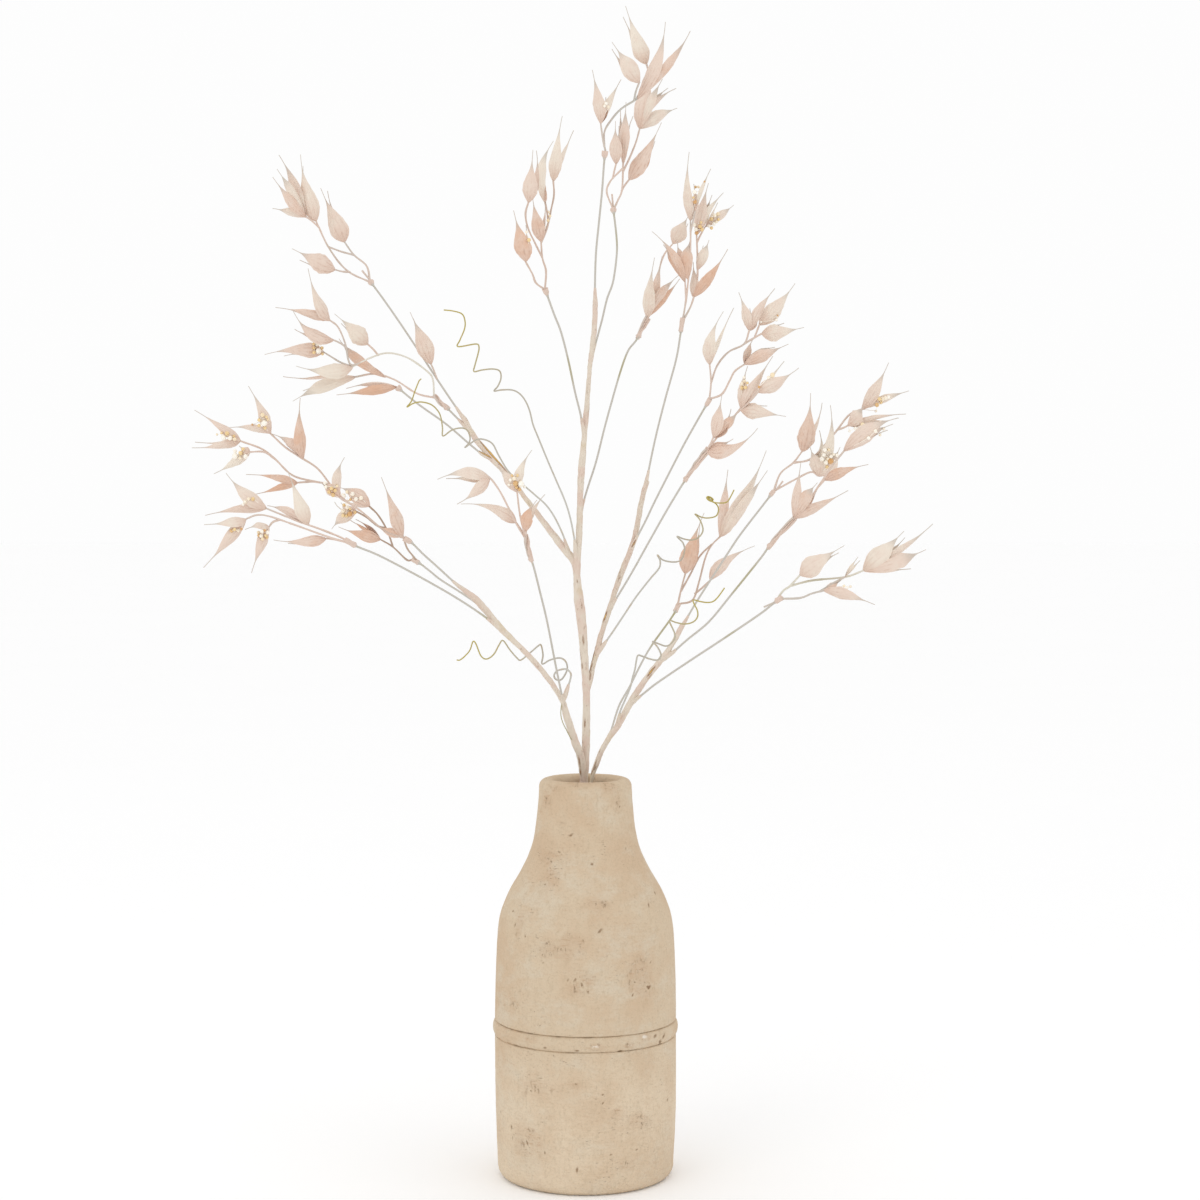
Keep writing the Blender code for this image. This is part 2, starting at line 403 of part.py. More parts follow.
class Line:
    """A stem's centre line in space with a radius at each point."""

    def __init__(self, points, radii):
        self.points = np.asarray(points, float)
        self.radii = np.broadcast_to(np.asarray(radii, float), len(self.points)).copy()
        self.along = shares(self.points)
        self.length = np.linalg.norm(np.diff(self.points, axis=0), axis=1).sum()

    def at(self, share):
        """Points at shares of the length, as a row for each."""
        return np.stack([np.interp(share, self.along, self.points[:, i]) for i in range(3)], axis=-1)

    def radius_at(self, share):
        """The radius at shares of the length."""
        return np.interp(share, self.along, self.radii)

    def near(self, column, row):
        """The share of the length that appears nearest to a picture point, and how near."""
        share = np.linspace(0, 1, 400)
        far = np.linalg.norm(shown(self.at(share)) - (column, row), axis=1)
        return share[far.argmin()], far.min()

    def stretch(self, start, end):
        """The part of the line between two lengths from its start."""
        first, last = start / self.length, end / self.length
        share = [first, *(a for a in self.along if first < a < last), last]
        return Line(self.at(share), self.radius_at(share))


def meet(lines, column, row):
    """The point, on the line that appears nearest to a picture point, where another grows."""
    nearest = min(lines, key=lambda line: line.near(column, row)[1])
    return nearest.at(nearest.near(column, row)[0])


def picture_line(points, depths, radii):
    """A line through picture points, its depth passing evenly through the given depths."""
    pixels = np.asarray(points, float)[:, :2]
    depth = np.interp(shares(pixels), np.linspace(0, 1, len(depths)), depths)
    return Line([seen(*pixel, d) for pixel, d in zip(pixels, depth)], radii)


def arm_line(arm, lines):
    """An arm's centre line; the trunk also gets its foot, which stands inside the vase."""
    depths = [depth * MM for depth in arm.depths if depth is not None]
    if arm.parent:
        depths.insert(0, meet([lines[arm.parent]], *arm.points[0][:2])[1])
    radii = [point[2] / 2 * pixel_size(0) for point in arm.points]
    line = picture_line(arm.points, depths, radii)
    if arm.parent is None:
        foot = np.array(TRUNK_FOOT)
        line = Line(np.vstack((foot[:, :3], line.points)), [*foot[:, 3], *line.radii])
    return line


def wire_line(sprig, lines):
    """A sprig's wire from the arm's middle to its node, thicker where paper wraps it."""
    root = meet([lines[sprig.arm]], *sprig.wire[0])
    line = picture_line(sprig.wire, (root[1], sprig.depth * MM), WIRE_RADIUS)
    line.points[0] = root
    line = Line(line.points, line.radii)
    wrap = sprig.wrap * pixel_size(0) / line.length
    bare, full = 1 - wrap, 1 - wrap * 0.75
    share = sorted({*line.along, bare, full})
    radii = np.interp(share, (bare, full), (WIRE_RADIUS, WRAP_RADIUS))
    return Line(line.at(share), radii)


def stalk_lines(sprig, wire):
    """The sprig's stalks, each grown from the nearest line before it."""
    lines = [wire]
    for offset, points in sprig.stalks:
        start = meet(lines, *points[0])
        line = picture_line(points, (start[1], (sprig.depth + offset) * MM), STALK_RADIUS)
        line.points[0] = start
        lines.append(Line(line.points, line.radii))
    return lines[1:]


def tendril_line(tendril, lines):
    """A corkscrew: the depth swings once between each turning place and the next."""
    root = meet([lines[tendril.arm]], *tendril.points[0])
    along = shares(tendril.points)
    level = np.interp(along, (0, TENDRIL_REACH, 1), (root[1], tendril.depth * MM, tendril.depth * MM))
    turns = np.interp(along, (0, *along[list(tendril.cusps)], 1), np.arange(len(tendril.cusps) + 2))
    grown = np.interp(along, (0, TENDRIL_REACH), (0, 1))
    depth = level + TENDRIL_WAVE * grown * np.sin(2 * math.pi * turns)
    points = [seen(*point, d) for point, d in zip(tendril.points, depth)]
    points[0] = root
    return Line(points, TENDRIL_RADIUS)


def finish_of(name, colour, roughness):
    """A Principled material, one for each node that wears it."""
    material = bpy.data.materials.new(name)
    material.use_nodes = True
    shader = material.node_tree.nodes["Principled BSDF"]
    shader.inputs["Base Color"].default_value = colour
    shader.inputs["Roughness"].default_value = roughness
    shader.inputs["Metallic"].default_value = 0.0
    return material


def solid(name, vertices, faces):
    """A closed mesh object."""
    mesh = bpy.data.meshes.new(name)
    mesh.from_pydata([tuple(vertex) for vertex in vertices], [], faces)
    mesh.update()
    made = bpy.data.objects.new(name, mesh)
    bpy.context.scene.collection.objects.link(made)
    return made


def tube(name, line, sides, spread=0.0):
    """A tube along a line, with the radius of each point, widened all round by spread."""
    tangents = np.gradient(line.points, axis=0)
    tangents /= np.linalg.norm(tangents, axis=1)[:, None]
    side = unit(np.cross(tangents[0], (0.31, 0.87, 0.12)))
    reach = line.radii + spread / math.cos(math.pi / sides)
    turns = np.arange(sides) * 2 * math.pi / sides
    vertices = []
    for point, tangent, radius in zip(line.points, tangents, reach):
        side = unit(side - tangent * (side @ tangent))
        other = np.cross(tangent, side)
        vertices += [point + radius * (math.cos(turn) * side + math.sin(turn) * other) for turn in turns]
    faces = [tuple(range(sides))[::-1]]
    for row in range(len(line.points) - 1):
        for i in range(sides):
            a, b = row * sides + i, row * sides + (i + 1) % sides
            faces.append((a, b, b + sides, a + sides))
    last = (len(line.points) - 1) * sides
    faces.append(tuple(range(last, last + sides)))
    return solid(name, vertices, faces)


def blade(name, base, belly, tip, back, width):
    """One leaf of a husk: pointed, keeled and drawn out into an awn.

    Its middle line is the quadratic curve from base to tip through the belly, where the leaf
    is widest.
    """
    reach = np.linalg.norm(belly - base)
    widest = reach / (reach + np.linalg.norm(tip - belly))
    pull = (belly - base * (1 - widest) ** 2 - tip * widest ** 2) / (2 * widest * (1 - widest))
    vertices = []
    for below, beyond, full in BLADE_ROWS:
        share = below * widest + beyond * (1 - widest)
        half = max(AWN_HALF_WIDTH, full * width / 2) if full else ROOT_HALF_WIDTH
        thick = THINNEST + CUP * half
        middle = base * (1 - share) ** 2 + pull * 2 * share * (1 - share) + tip * share ** 2
        axis = unit((pull - base) * (1 - share) + (tip - pull) * share)
        middle -= axis * (0 if share else ROOT_DEPTH)
        outer = unit(back - axis * (back @ axis))
        side = np.cross(axis, outer)
        edge = middle - outer * thick / 3
        vertices += [edge - side * half, middle + outer * thick * 2 / 3, edge + side * half]
    faces = [(2, 1, 0)]
    for row in range(0, len(vertices) - 3, 3):
        a, b, c, d, e, f = range(row, row + 6)
        faces += [(a, b, e), (a, e, d), (b, c, e), (c, f, e), (c, a, d), (c, d, f)]
    faces.append((len(vertices) - 3, len(vertices) - 2, len(vertices) - 1))
    return solid(name, vertices, faces)


def bead(name, centre, radius):
    """A small faceted pearl."""
    mesh = bpy.data.meshes.new(name)
    ball = bmesh.new()
    bmesh.ops.create_icosphere(ball, subdivisions=1, radius=radius)
    bmesh.ops.translate(ball, verts=ball.verts, vec=centre)
    ball.to_mesh(mesh)
    ball.free()
    made = bpy.data.objects.new(name, mesh)
    bpy.context.scene.collection.objects.link(made)
    return made


def husk_pieces(name, husk, lines):
    """The blades of one husk, facing away from each other, and its beads on a short thread.

    The belly of a blade bulges in depth to the side that the blade's back faces.
    """
    base = meet(lines, *husk.base)
    tips = [seen(*blade[:2], base[1] + husk.lean * MM + side * BLADES_APART / 2)
            for blade, side in zip(husk.blades, (-1, 1))]
    axes = [unit(tip - base) for tip in tips]
    middle = (axes[0] + axes[1]) / 2
    pieces = []
    for i, (shape, tip, axis) in enumerate(zip(husk.blades, tips, axes)):
        away = unit(axis - middle)
        back = away + TO_VIEWER * TURN_TO_VIEWER * math.hypot(away[0], away[2])
        bulge = unit(back)[1] * BLADE_BULGE * np.linalg.norm(tip - base)
        belly = seen(*shape[2:4], base[1] * 0.65 + tip[1] * 0.35 + bulge)
        pieces.append(blade(f"{name} blade {i}", base, belly, tip, back, shape[4] * pixel_size(base[1])))
    if husk.beads:
        heart = base + unit(middle) * BEAD_REACH
        pieces.append(tube(f"{name} thread", Line([base, heart], STALK_RADIUS), STALK_SIDES))
        for i in range(husk.beads):
            turn = BEAD_TURN * i
            ring = np.array((math.cos(turn), -0.8, math.sin(turn))) * BEAD_RADIUS * 0.6
            pieces.append(bead(f"{name} bead {i}", heart + ring, BEAD_RADIUS))
    return pieces


def join(name, pieces, solver="MANIFOLD"):
    """One body out of overlapping closed pieces."""
    body, rest = pieces[0], pieces[1:]
    body.name = name
    if rest:
        joined = bpy.data.collections.new(name)
        for piece in rest:
            joined.objects.link(piece)
        apply_boolean(body, "UNION", joined, solver)
        bpy.data.collections.remove(joined)
        for piece in rest:
            bpy.data.objects.remove(piece)
    return body


def apply_boolean(body, operation, others, solver="MANIFOLD"):
    """The body after a Boolean with a collection, without the modifier."""
    boolean = body.modifiers.new(operation.lower(), "BOOLEAN")
    boolean.operation = operation
    boolean.operand_type = "COLLECTION"
    boolean.collection = others
    boolean.solver = solver
    bpy.context.view_layer.update()
    shape = body.evaluated_get(bpy.context.evaluated_depsgraph_get())
    mesh = bpy.data.meshes.new_from_object(shape)
    body.modifiers.clear()
    body.data = mesh


def drop_scraps(body):
    """Only the body's outer skin: sealed hollows are filled and loose scraps dropped."""
    shape = bmesh.new()
    shape.from_mesh(body.data)
    bmesh.ops.triangulate(shape, faces=shape.faces)
    left = set(shape.faces)
    skins = []
    while left:
        reached = [left.pop()]
        for face in reached:
            for edge in face.edges:
                near = [other for other in edge.link_faces if other in left]
                left.difference_update(near)
                reached += near
        volume = sum(f.verts[0].co.dot(f.verts[1].co.cross(f.verts[2].co)) / 6 for f in reached)
        skins.append((volume, reached))
    keep = max(skins, key=lambda skin: skin[0])
    small = [face for skin in skins if skin is not keep and skin[0] < 1e-9 for face in skin[1]]
    bmesh.ops.delete(shape, geom=small, context="FACES")
    shape.to_mesh(body.data)
    shape.free()


def turns_over(face, old, new, place):
    """Whether a face folds over when its corner moves to a place."""
    before = [corner.co for corner in face.verts]
    after = [place if corner in (old, new) else corner.co for corner in face.verts]
    first = (before[1] - before[0]).cross(before[2] - before[0])
    second = (after[1] - after[0]).cross(after[2] - after[0])
    return first.dot(second) <= 0.3 * first.length * second.length or second.length < 1e-9


def draw_together(body):
    """Ends of the short edges that joining leaves, made one where no face turns over."""
    shape = bmesh.new()
    shape.from_mesh(body.data)
    bmesh.ops.triangulate(shape, faces=shape.faces)
    merged = True
    while merged:
        merged = {}
        touched = set()
        for edge in sorted(shape.edges, key=lambda e: e.calc_length()):
            if edge.calc_length() > SHORT_EDGE:
                break
            one, two = edge.verts
            beside = [{e.other_vert(v) for e in v.link_edges} for v in (one, two)]
            around = beside[0] | beside[1]
            if len(beside[0] & beside[1]) != 2 or around & touched:
                continue
            moved = [f for v in (one, two) for f in v.link_faces if f not in edge.link_faces]
            for place in ((one.co + two.co) / 2, one.co.copy(), two.co.copy()):
                if not any(turns_over(face, one, two, place) for face in moved):
                    two.co = place
                    merged[one] = two
                    touched |= around
                    break
        bmesh.ops.weld_verts(shape, targetmap=merged)
    shape.to_mesh(body.data)
    shape.free()


def dress(body, finish):
    """Its own material and smooth shading over round forms."""
    body.data.materials.clear()
    body.data.materials.append(finish_of(f"{finish[0]} of {body.name}", finish[1], finish[2]))
    body.data.shade_smooth()
    body.data.set_sharp_from_angle(angle=math.radians(50))


def arc(middle_r, middle_z, reach_r, reach_z, first, last, count):
    """Points of an elliptical arc in the vase's profile, angles in degrees from +r to +z."""
    turns = np.radians(np.linspace(first, last, count))
    return [(middle_r + reach_r * math.cos(t), middle_z + reach_z * math.sin(t)) for t in turns]


def vase_profile():
    """Radius and height, up the outside, over the lip and down the inside."""
    foot = arc(FOOT_RADIUS, FOOT_ROUND, BODY_RADIUS - FOOT_RADIUS - 0.002, FOOT_ROUND, -90, 0, 4)
    body = [(0.0626, 0.026), (BODY_RADIUS, 0.070), (BODY_RADIUS, RING_LOW - 0.0015)]
    ring_middle = (RING_LOW + RING_HIGH) / 2
    proud = RING_RADIUS - BODY_RADIUS + 0.0012
    ring = arc(RING_RADIUS - proud, ring_middle, proud, (RING_HIGH - RING_LOW) / 2, -80, 80, 5)
    shoulder = [(BODY_RADIUS, RING_HIGH + 0.0015), *((r, z) for z, r in SHOULDER)]
    crest = MOUTH_RADIUS + LIP_RADIUS
    lip_z = VASE_HEIGHT - LIP_RADIUS
    lip = arc(crest, lip_z, LIP_RADIUS, LIP_RADIUS, 0, 180, 7)
    neck = [(0.0220, 0.247), (0.0320, 0.226), (0.0460, 0.203), (0.0545, 0.186)]
    bore = BODY_RADIUS - WALL
    inside = [(bore, 0.165), (bore, 0.020), (FOOT_RADIUS - 0.004, FLOOR_THICKNESS)]
    return foot + body + ring + shoulder + lip + neck + inside


def make_vase():
    """The turned vase, closed at the middle of its foot and of its inner floor."""
    profile = vase_profile()
    turns = np.arange(VASE_SIDES) * 2 * math.pi / VASE_SIDES
    vertices = [(r * math.cos(t), r * math.sin(t), z) for r, z in profile for t in turns]
    faces = [tuple(range(VASE_SIDES))[::-1]]
    for row in range(len(profile) - 1):
        for i in range(VASE_SIDES):
            a, b = row * VASE_SIDES + i, row * VASE_SIDES + (i + 1) % VASE_SIDES
            faces.append((a, b, b + VASE_SIDES, a + VASE_SIDES))
    last = (len(profile) - 1) * VASE_SIDES
    faces.append(tuple(range(last, last + VASE_SIDES)))
    dress(solid("vase", vertices, faces), PLASTER)


def sleeve_end(wire, lines, radius):
    """How far along a wire the paper holds it: to where it has left every arm."""
    distance = SLEEVE_LENGTH
    share = np.linspace(0, 1, 300)
    arms = [(line.at(share), line.radius_at(share)) for line in lines]
    while distance < wire.length:
        point = wire.at(distance / wire.length)
        clear = min((np.linalg.norm(points - point, axis=1) - radii).min() for points, radii in arms)
        if clear > radius + 2 * GAP:
            return distance
        distance += 0.0005
    return distance


def make_branch(lines, wires):
    """The trunk and arms, with a paper sleeve and a socket for each wire."""
    pieces = [tube(name, line, STEM_SIDES) for name, line in lines.items()]
    cutters = bpy.data.collections.new("sockets")
    for name, wire in wires.items():
        held = sleeve_end(wire, lines.values(), WIRE_RADIUS)
        sleeve = wire.stretch(0, held)
        pieces.append(tube(f"{name} sleeve", Line(sleeve.points, SLEEVE_RADIUS), SLEEVE_SIDES))
        socket = tube(f"{name} socket", wire.stretch(SOCKET_START - GAP, held + 0.02), WIRE_SIDES, GAP)
        cutters.objects.link(socket)
    branch = join("spray_stem", pieces)
    apply_boolean(branch, "DIFFERENCE", cutters)
    for socket in list(cutters.objects):
        bpy.data.objects.remove(socket)
    bpy.data.collections.remove(cutters)
    drop_scraps(branch)
    dress(branch, PAPER)


def make_sprig(name, sprig, wire):
    """A wire with its stalks, husks and beads, as one body."""
    stalks = stalk_lines(sprig, wire)
    pieces = [tube(name, wire.stretch(SOCKET_START, wire.length), WIRE_SIDES)]
    pieces += [tube(f"{name} stalk {i}", line, STALK_SIDES) for i, line in enumerate(stalks)]
    for i, husk in enumerate(sprig.husks):
        pieces += husk_pieces(f"{name} husk {i}", husk, [wire, *stalks])
    body = join(name, pieces)
    drop_scraps(body)
    draw_together(body)
    dress(body, HUSK_PAPER)


def make_tendril(name, line):
    """A curly wire from its socket to its free tip."""
    dress(tube(name, line.stretch(SOCKET_START, line.length), WIRE_SIDES), OLIVE_WIRE)


def main():
    """Clear the scene and build every piece."""
    for old in list(bpy.data.objects):
        bpy.data.objects.remove(old)
    lines = {}
    for name, arm in ARMS.items():
        lines[name] = arm_line(arm, lines)
    wires = {name: wire_line(sprig, lines) for name, sprig in SPRIGS.items()}
    curls = {name: tendril_line(tendril, lines) for name, tendril in TENDRILS.items()}
    make_vase()
    make_branch(lines, {**wires, **curls})
    for name, sprig in SPRIGS.items():
        make_sprig(name, sprig, wires[name])
    for name, line in curls.items():
        make_tendril(name, line)


main()
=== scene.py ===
"""Vase of twigs: the looks of a plaster bottle vase with an artificial oat-grass spray.

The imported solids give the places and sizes.  Each is replaced by a finer skin at the same
place: the vase's worn plaster, the paper-wrapped branch, the sprigs with their ribbed husks,
pearls and paper wraps, and the curly tendrils.  The points are the ones that the solids are
made from, as column and row in the photograph's 1200 x 1200 frame with a depth.
"""

import json
import logging
import math
from dataclasses import dataclass
from enum import IntEnum
from functools import cache
from typing import NamedTuple, Optional, Sequence

import bpy
import numpy as np
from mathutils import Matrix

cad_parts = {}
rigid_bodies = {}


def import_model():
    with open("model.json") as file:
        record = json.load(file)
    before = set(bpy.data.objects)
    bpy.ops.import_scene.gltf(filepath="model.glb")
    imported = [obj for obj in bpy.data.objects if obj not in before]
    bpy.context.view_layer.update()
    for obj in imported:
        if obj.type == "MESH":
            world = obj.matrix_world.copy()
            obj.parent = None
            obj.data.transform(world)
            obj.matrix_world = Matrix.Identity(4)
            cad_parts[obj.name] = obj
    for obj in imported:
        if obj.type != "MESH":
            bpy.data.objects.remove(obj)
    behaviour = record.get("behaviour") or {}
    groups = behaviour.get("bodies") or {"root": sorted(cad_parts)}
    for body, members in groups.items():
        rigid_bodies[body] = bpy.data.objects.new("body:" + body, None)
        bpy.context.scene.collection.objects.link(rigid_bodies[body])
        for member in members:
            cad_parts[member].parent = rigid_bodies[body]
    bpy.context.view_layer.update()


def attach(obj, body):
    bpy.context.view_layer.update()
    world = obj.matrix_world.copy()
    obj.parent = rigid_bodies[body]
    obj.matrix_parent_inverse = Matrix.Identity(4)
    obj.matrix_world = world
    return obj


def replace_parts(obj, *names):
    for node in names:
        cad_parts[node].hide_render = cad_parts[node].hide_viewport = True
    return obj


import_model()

Array = np.ndarray
Colour = tuple[float, float, float, float]
Socket, Material, Piece = bpy.types.NodeSocket, bpy.types.Material, bpy.types.Object
LOG = logging.getLogger("vase of twigs")
MM = 0.001

# The photograph's eye
PICTURE_MIDDLE = 600.0
FOCAL_PIXELS = 2500.0
EYE = np.array((0.0102, -1.742, 0.496))
PITCH = math.radians(3.0)
LOOK = np.array((0.0, math.cos(PITCH), -math.sin(PITCH)))
RIGHT = np.array((1.0, 0.0, 0.0))
UP = np.array((0.0, math.sin(PITCH), math.cos(PITCH)))
TO_VIEWER = np.array((0.0, -1.0, 0.0))
SENSOR_MM = 36.0
FRAME_PIXELS = 1200.0

# The spray's sizes and shares, as in the solids
FLOOR_THICKNESS = 0.009
WIRE_RADIUS = 0.00072
STALK_RADIUS = 0.00075
WRAP_RADIUS = 0.0019
SLEEVE_LENGTH = 0.009
SOCKET_GAP = 0.0003
BLADES_APART = 0.010
TURN_TO_VIEWER = 1.5
SEEN_ASLANT = 1.17
BLADE_BULGE = 0.07
TENDRIL_RADIUS = 0.0007
TENDRIL_WAVE = 0.004
TENDRIL_REACH = 0.28
# Where a wire's skin starts on its arm, in metres from the wire's root
ROOT_GAP = 0.002
# Pixels of paper past which a wrap has loose strands, and pixels from a pearl to the cloth under it
LONG_WRAP = 20
PEARL_NEAR = 3.5
# The tone of the stalks' paper, and where it is another one for a sprig or for one of its stalks:
# greyer below, browner above and pale grey at -2
STALK_TONE = 0.8
STALK_TONES = {("sprig_left_upper", 0): -2.0, ("sprig_right_low", 0): -1.7,
               ("sprig_right_low", 1): -1.7, "sprig_left_top": 0.5, "sprig_left_low": 0.7,
               "sprig_left_mid": 1.3, "sprig_left_inner": 1.9, "sprig_left_upper": 0.6,
               "sprig_right_low": 0.4, "sprig_right_inner": 1.15, "sprig_crown_left": 1.2,
               "sprig_crown_mid": 0.3, "sprig_crown_right": 0.5, "sprig_right_upper": 0.7}


class Arm(NamedTuple):
    """An arm of the branch: column, row and width at each point, and its depths in mm."""

    parent: Optional[str]
    points: list[tuple[float, float, float]]
    depths: tuple[Optional[float], ...]


class Husk(NamedTuple):
    """A husk: its base, its blades, its tips' depth behind the base in mm, and its pearls.

    A blade is its tip, the middle of its widest part and its width there, in pixels, and its
    colour: 0 is cream, 1 peach and 2 copper.  A pearl is its column, row and width in pixels,
    and its colour: 0 is cream, 1 gold and 2 amber.
    """

    base: tuple[float, float]
    blades: list[tuple[float, float, float, float, float, float]]
    lean: float
    pearls: Sequence[tuple[float, float, float, float]] = ()


class Sprig(NamedTuple):
    """A wire with its depth in mm, the pixels of paper at its node, its stalks and its husks."""

    arm: str
    depth: float
    wrap: float
    wire: list[tuple[float, float]]
    stalks: list[tuple[float, list[tuple[float, float]]]]
    husks: list[Husk]


class Tendril(NamedTuple):
    """A corkscrew's depth in mm, the points where it turns back, counted from 0, and its points."""

    arm: str
    depth: float
    cusps: tuple[int, ...]
    points: list[tuple[float, float]]


# The trunk inside the vase: x, y, height and radius
TRUNK_FOOT = ((-0.006, -0.014, FLOOR_THICKNESS + 0.00063, 0.0030), (-0.004, 0.0005, 0.135, 0.0030),
              (-0.002, 0.0145, 0.250, 0.0031))
ARMS = {
    "trunk": Arm(None, [
        (584, 778, 9), (585.6, 755, 8.6), (586.3, 720, 7.8), (586.3, 690, 7.8), (583.5, 645, 8.6),
        (581.5, 620, 9.6), (579, 600, 10), (577.3, 582, 7.6), (577, 565, 7.2), (579.3, 530, 6.8),
        (580, 500, 6.4), (581.5, 470, 7), (584, 440, 5.8), (587.3, 400, 5.2), (590.5, 360, 5),
        (594.2, 330, 5.6), (595.4, 302, 5)], (17.8, 26, 12)),
    "left_arm": Arm("trunk", [
        (584.5, 785, 7), (580.5, 756, 8.5), (574, 739, 8), (565, 710, 6.6), (562.6, 701, 5.6),
        (550, 681, 5.2), (529.5, 656.5, 5.2), (501, 628.5, 6.2), (478.5, 602, 7), (464, 590, 5.2)],
        (None, -10)),
    "upper_left_arm": Arm("trunk", [
        (577, 580, 6), (574.5, 562, 8), (564, 548.6, 8), (545, 524, 6.2), (526, 499, 5.4),
        (509, 477, 5.4), (491, 457, 6.6), (475, 438, 6.2), (463.8, 418, 5.2)], (None, 60)),
    "upper_right_arm": Arm("trunk", [
        (586.5, 692, 6), (590, 681, 6), (592.5, 668, 5.2), (597, 651, 5.8), (602, 632, 5.2),
        (611, 604, 5.2), (621, 574, 5.6), (634, 540, 5.6), (642, 499, 6), (647, 481, 5.2)],
        (None, 45)),
    "right_arm": Arm("trunk", [
        (585.5, 815, 4), (589.5, 793, 4), (592.7, 775, 4.6), (596.5, 764, 5.4), (601.6, 751, 5.2),
        (609, 738, 6), (618, 725.5, 6.4), (632, 700, 6.6), (649, 675, 6), (666, 653.5, 5.6),
        (675, 639.5, 5.2), (683, 624, 5.2)], (None, -10)),
}

